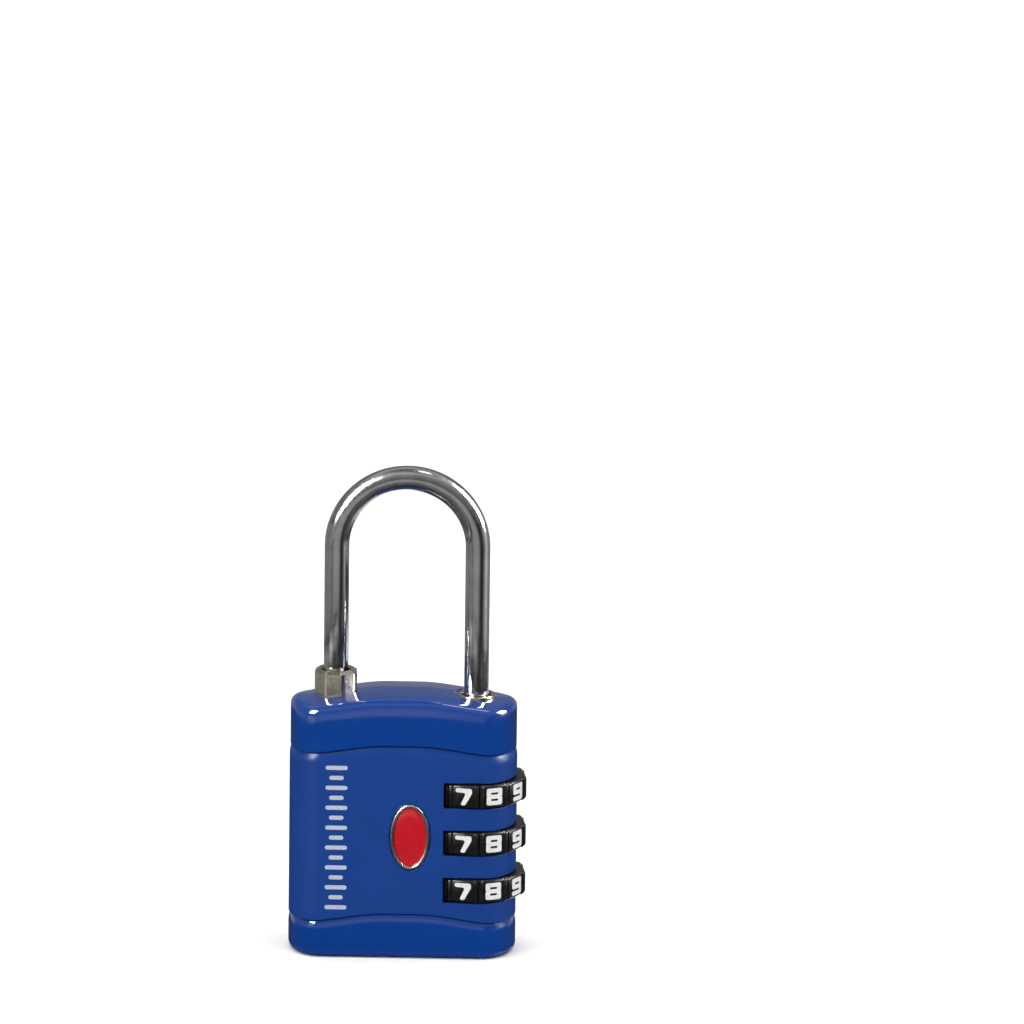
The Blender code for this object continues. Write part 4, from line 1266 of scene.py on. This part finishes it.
def tent_brightness(azimuth, elevation):
    for (low, dark), (high, bright) in zip(SKY, SKY[1:]):
        if low <= elevation <= high:
            value = dark + (bright - dark) * (elevation - low) / (high - low)
    return with_cards(value, azimuth, elevation, TENT_CARDS)


def glow_grid(name, rows):
    """A closed band of quads that shines. Each row is a list of (point, brightness)."""
    bm = bmesh.new()
    layer = bm.verts.layers.float.new("brightness")
    made_rows = []
    for row in rows:
        verts = []
        for point, brightness in row:
            vert = bm.verts.new(point)
            vert[layer] = brightness
            verts.append(vert)
        made_rows.append(verts)
    for low, high in zip(made_rows, made_rows[1:]):
        for i in range(len(low)):
            j = (i + 1) % len(low)
            bm.faces.new((low[j], low[i], high[i], high[j]))
    obj = make_mesh(name, bm)
    made = bpy.data.materials.new(name)
    made.use_nodes = True
    nodes, links = made.node_tree.nodes, made.node_tree.links
    nodes.clear()
    emission = nodes.new("ShaderNodeEmission")
    attribute = nodes.new("ShaderNodeAttribute")
    attribute.attribute_name = "brightness"
    output = nodes.new("ShaderNodeOutputMaterial")
    links.new(attribute.outputs["Fac"], emission.inputs["Strength"])
    links.new(emission.outputs["Emission"], output.inputs["Surface"])
    made.cycles.emission_sampling = "NONE"
    obj.data.materials.append(made)
    only_in_mirrors(obj)


def make_painted_contact_shadow():
    """Painted shadow: a dark sheet under the lock that only its mirroring lower edge shows."""
    outline = [(x * 1.01, y * 1.02) for x, y in OUTLINE]
    patch = make_mesh("stage_painted_contact_shadow", prism(bmesh.new(), outline, *SHADOW_SHEET_Z))
    # near-black as painted shadow, standing for the shade on the floor right under the lock
    dark = Finish("stage_painted_contact_shadow", (0.02, 0.02, 0.02), 0.7)
    dark.vary("Roughness", dark.noise(4.0, 2.0), 0.65, 0.75)
    patch.data.materials.append(dark.material)
    only_in_mirrors(patch)


def make_tent():
    steps_a, steps_e, radius = 120, 60, 1000.0
    azimuths = [360.0 * i / steps_a for i in range(steps_a)]
    rows = []
    for j in range(steps_e + 1):
        e = -89.0 + 178.0 * j / steps_e
        rows.append([(direction(a, e) * radius, tent_brightness(a, e)) for a in azimuths])
    glow_grid("stage_tent", rows)
    for name, band_radius, levels, base, cards in BANDS:
        rows = []
        for z in levels:
            row = []
            for a in azimuths:
                point = direction(a, 0.0) * band_radius + Vector((0.0, 0.0, z))
                row.append((point, with_cards(base, a, 0.0, cards)))
            rows.append(row)
        glow_grid(f"stage_{name}", rows)


def softbox(name, azimuth, elevation, distance, width, height, brightness):
    """An area light that faces the lock. Its brightness is the radiance of its face."""
    light = bpy.data.lights.new(name, "AREA")
    light.shape = "RECTANGLE"
    light.size, light.size_y = width * MM, height * MM
    light.energy = brightness * pi * light.size * light.size_y
    obj = bpy.data.objects.new(name, light)
    bpy.context.scene.collection.objects.link(obj)
    aim = Vector((0.0, 0.0, 25.0))
    obj.location = (aim + direction(azimuth, elevation) * distance) * MM
    obj.rotation_mode = "QUATERNION"
    obj.rotation_quaternion = direction(azimuth, elevation).to_track_quat("Z", "Y")
    return obj


def make_lights():
    for side, azimuth in (("left", -53.0), ("right", 53.0)):
        key = softbox(f"key_{side}", azimuth, 32.0, 600.0, 280.0, 400.0, KEY_BRIGHTNESS)
        key.visible_glossy = False
    for side, azimuth, elevation in (("left", -53.0, 32.0), ("right", 95.0, 28.0)):
        size = (220.0, 420.0)
        glint = softbox(f"glint_{side}", azimuth, elevation, 580.0, *size, GLINT_BRIGHTNESS)
        glint.visible_diffuse = False
    softbox("glint_top", 90.0, 77.0, 700.0, 120.0, 120.0, 5.0).visible_diffuse = False
    sun = bpy.data.lights.new("overhead", "SUN")
    sun.energy, sun.angle = 2.3, radians(40.0)
    overhead = bpy.data.objects.new("overhead", sun)
    bpy.context.scene.collection.objects.link(overhead)
    overhead.visible_glossy = False
    world = bpy.data.worlds.new("studio")
    world.use_nodes = True
    background = world.node_tree.nodes["Background"]
    background.inputs["Color"].default_value = (1.0, 1.0, 1.0, 1.0)
    background.inputs["Strength"].default_value = 0.6
    bpy.context.scene.world = world


def make_camera():
    """The photograph's long-lens view: a little from above, square to the front."""
    azimuth, elevation, roll = 1.0, 14.0, 0.7
    distance, frame_width = 1600.0, 134.2
    aim = Vector((13.9, 0.0, 59.35))
    data = bpy.data.cameras.new("camera")
    data.sensor_width = 36.0
    data.lens = data.sensor_width * distance / frame_width
    data.clip_start, data.clip_end = 0.05, 20.0
    camera = bpy.data.objects.new("camera", data)
    bpy.context.scene.collection.objects.link(camera)
    back = direction(azimuth, elevation)
    camera.location = (aim + back * distance) * MM
    camera.rotation_mode = "QUATERNION"
    upright = (-back).to_track_quat("-Z", "Y")
    camera.rotation_quaternion = upright @ Quaternion((0.0, 0.0, 1.0), radians(roll))
    bpy.context.scene.camera = camera


# ---------------------------------------------------------------- assembly

def main():
    make_camera()
    gloss, satin, plated = gloss_blue(), satin_blue(), nickel()
    steel, wheel_black, white = polished_steel(), dial_black(), digit_white()
    works = {"zinc": zinc_darkened_for_shade(), "brass": brass(), "spring_steel": spring_steel(), "steel": steel}
    top_caps(gloss)
    panels(satin)
    bottom_cap(gloss)
    shackle(steel)
    collar_nut(plated)
    leg_bush(plated)
    for name in DIAL_NAMES:
        dial(name, wheel_black)
        dial_digits(name, white)
    key_plug(works["brass"])
    badge(silver_rim(), badge_red())
    printed_mark(silver_ink())
    dress_cad_nodes(works)
    make_floor()
    make_painted_contact_shadow()
    make_tent()
    make_lights()
    bpy.context.scene.view_settings.view_transform = "Standard"


main()
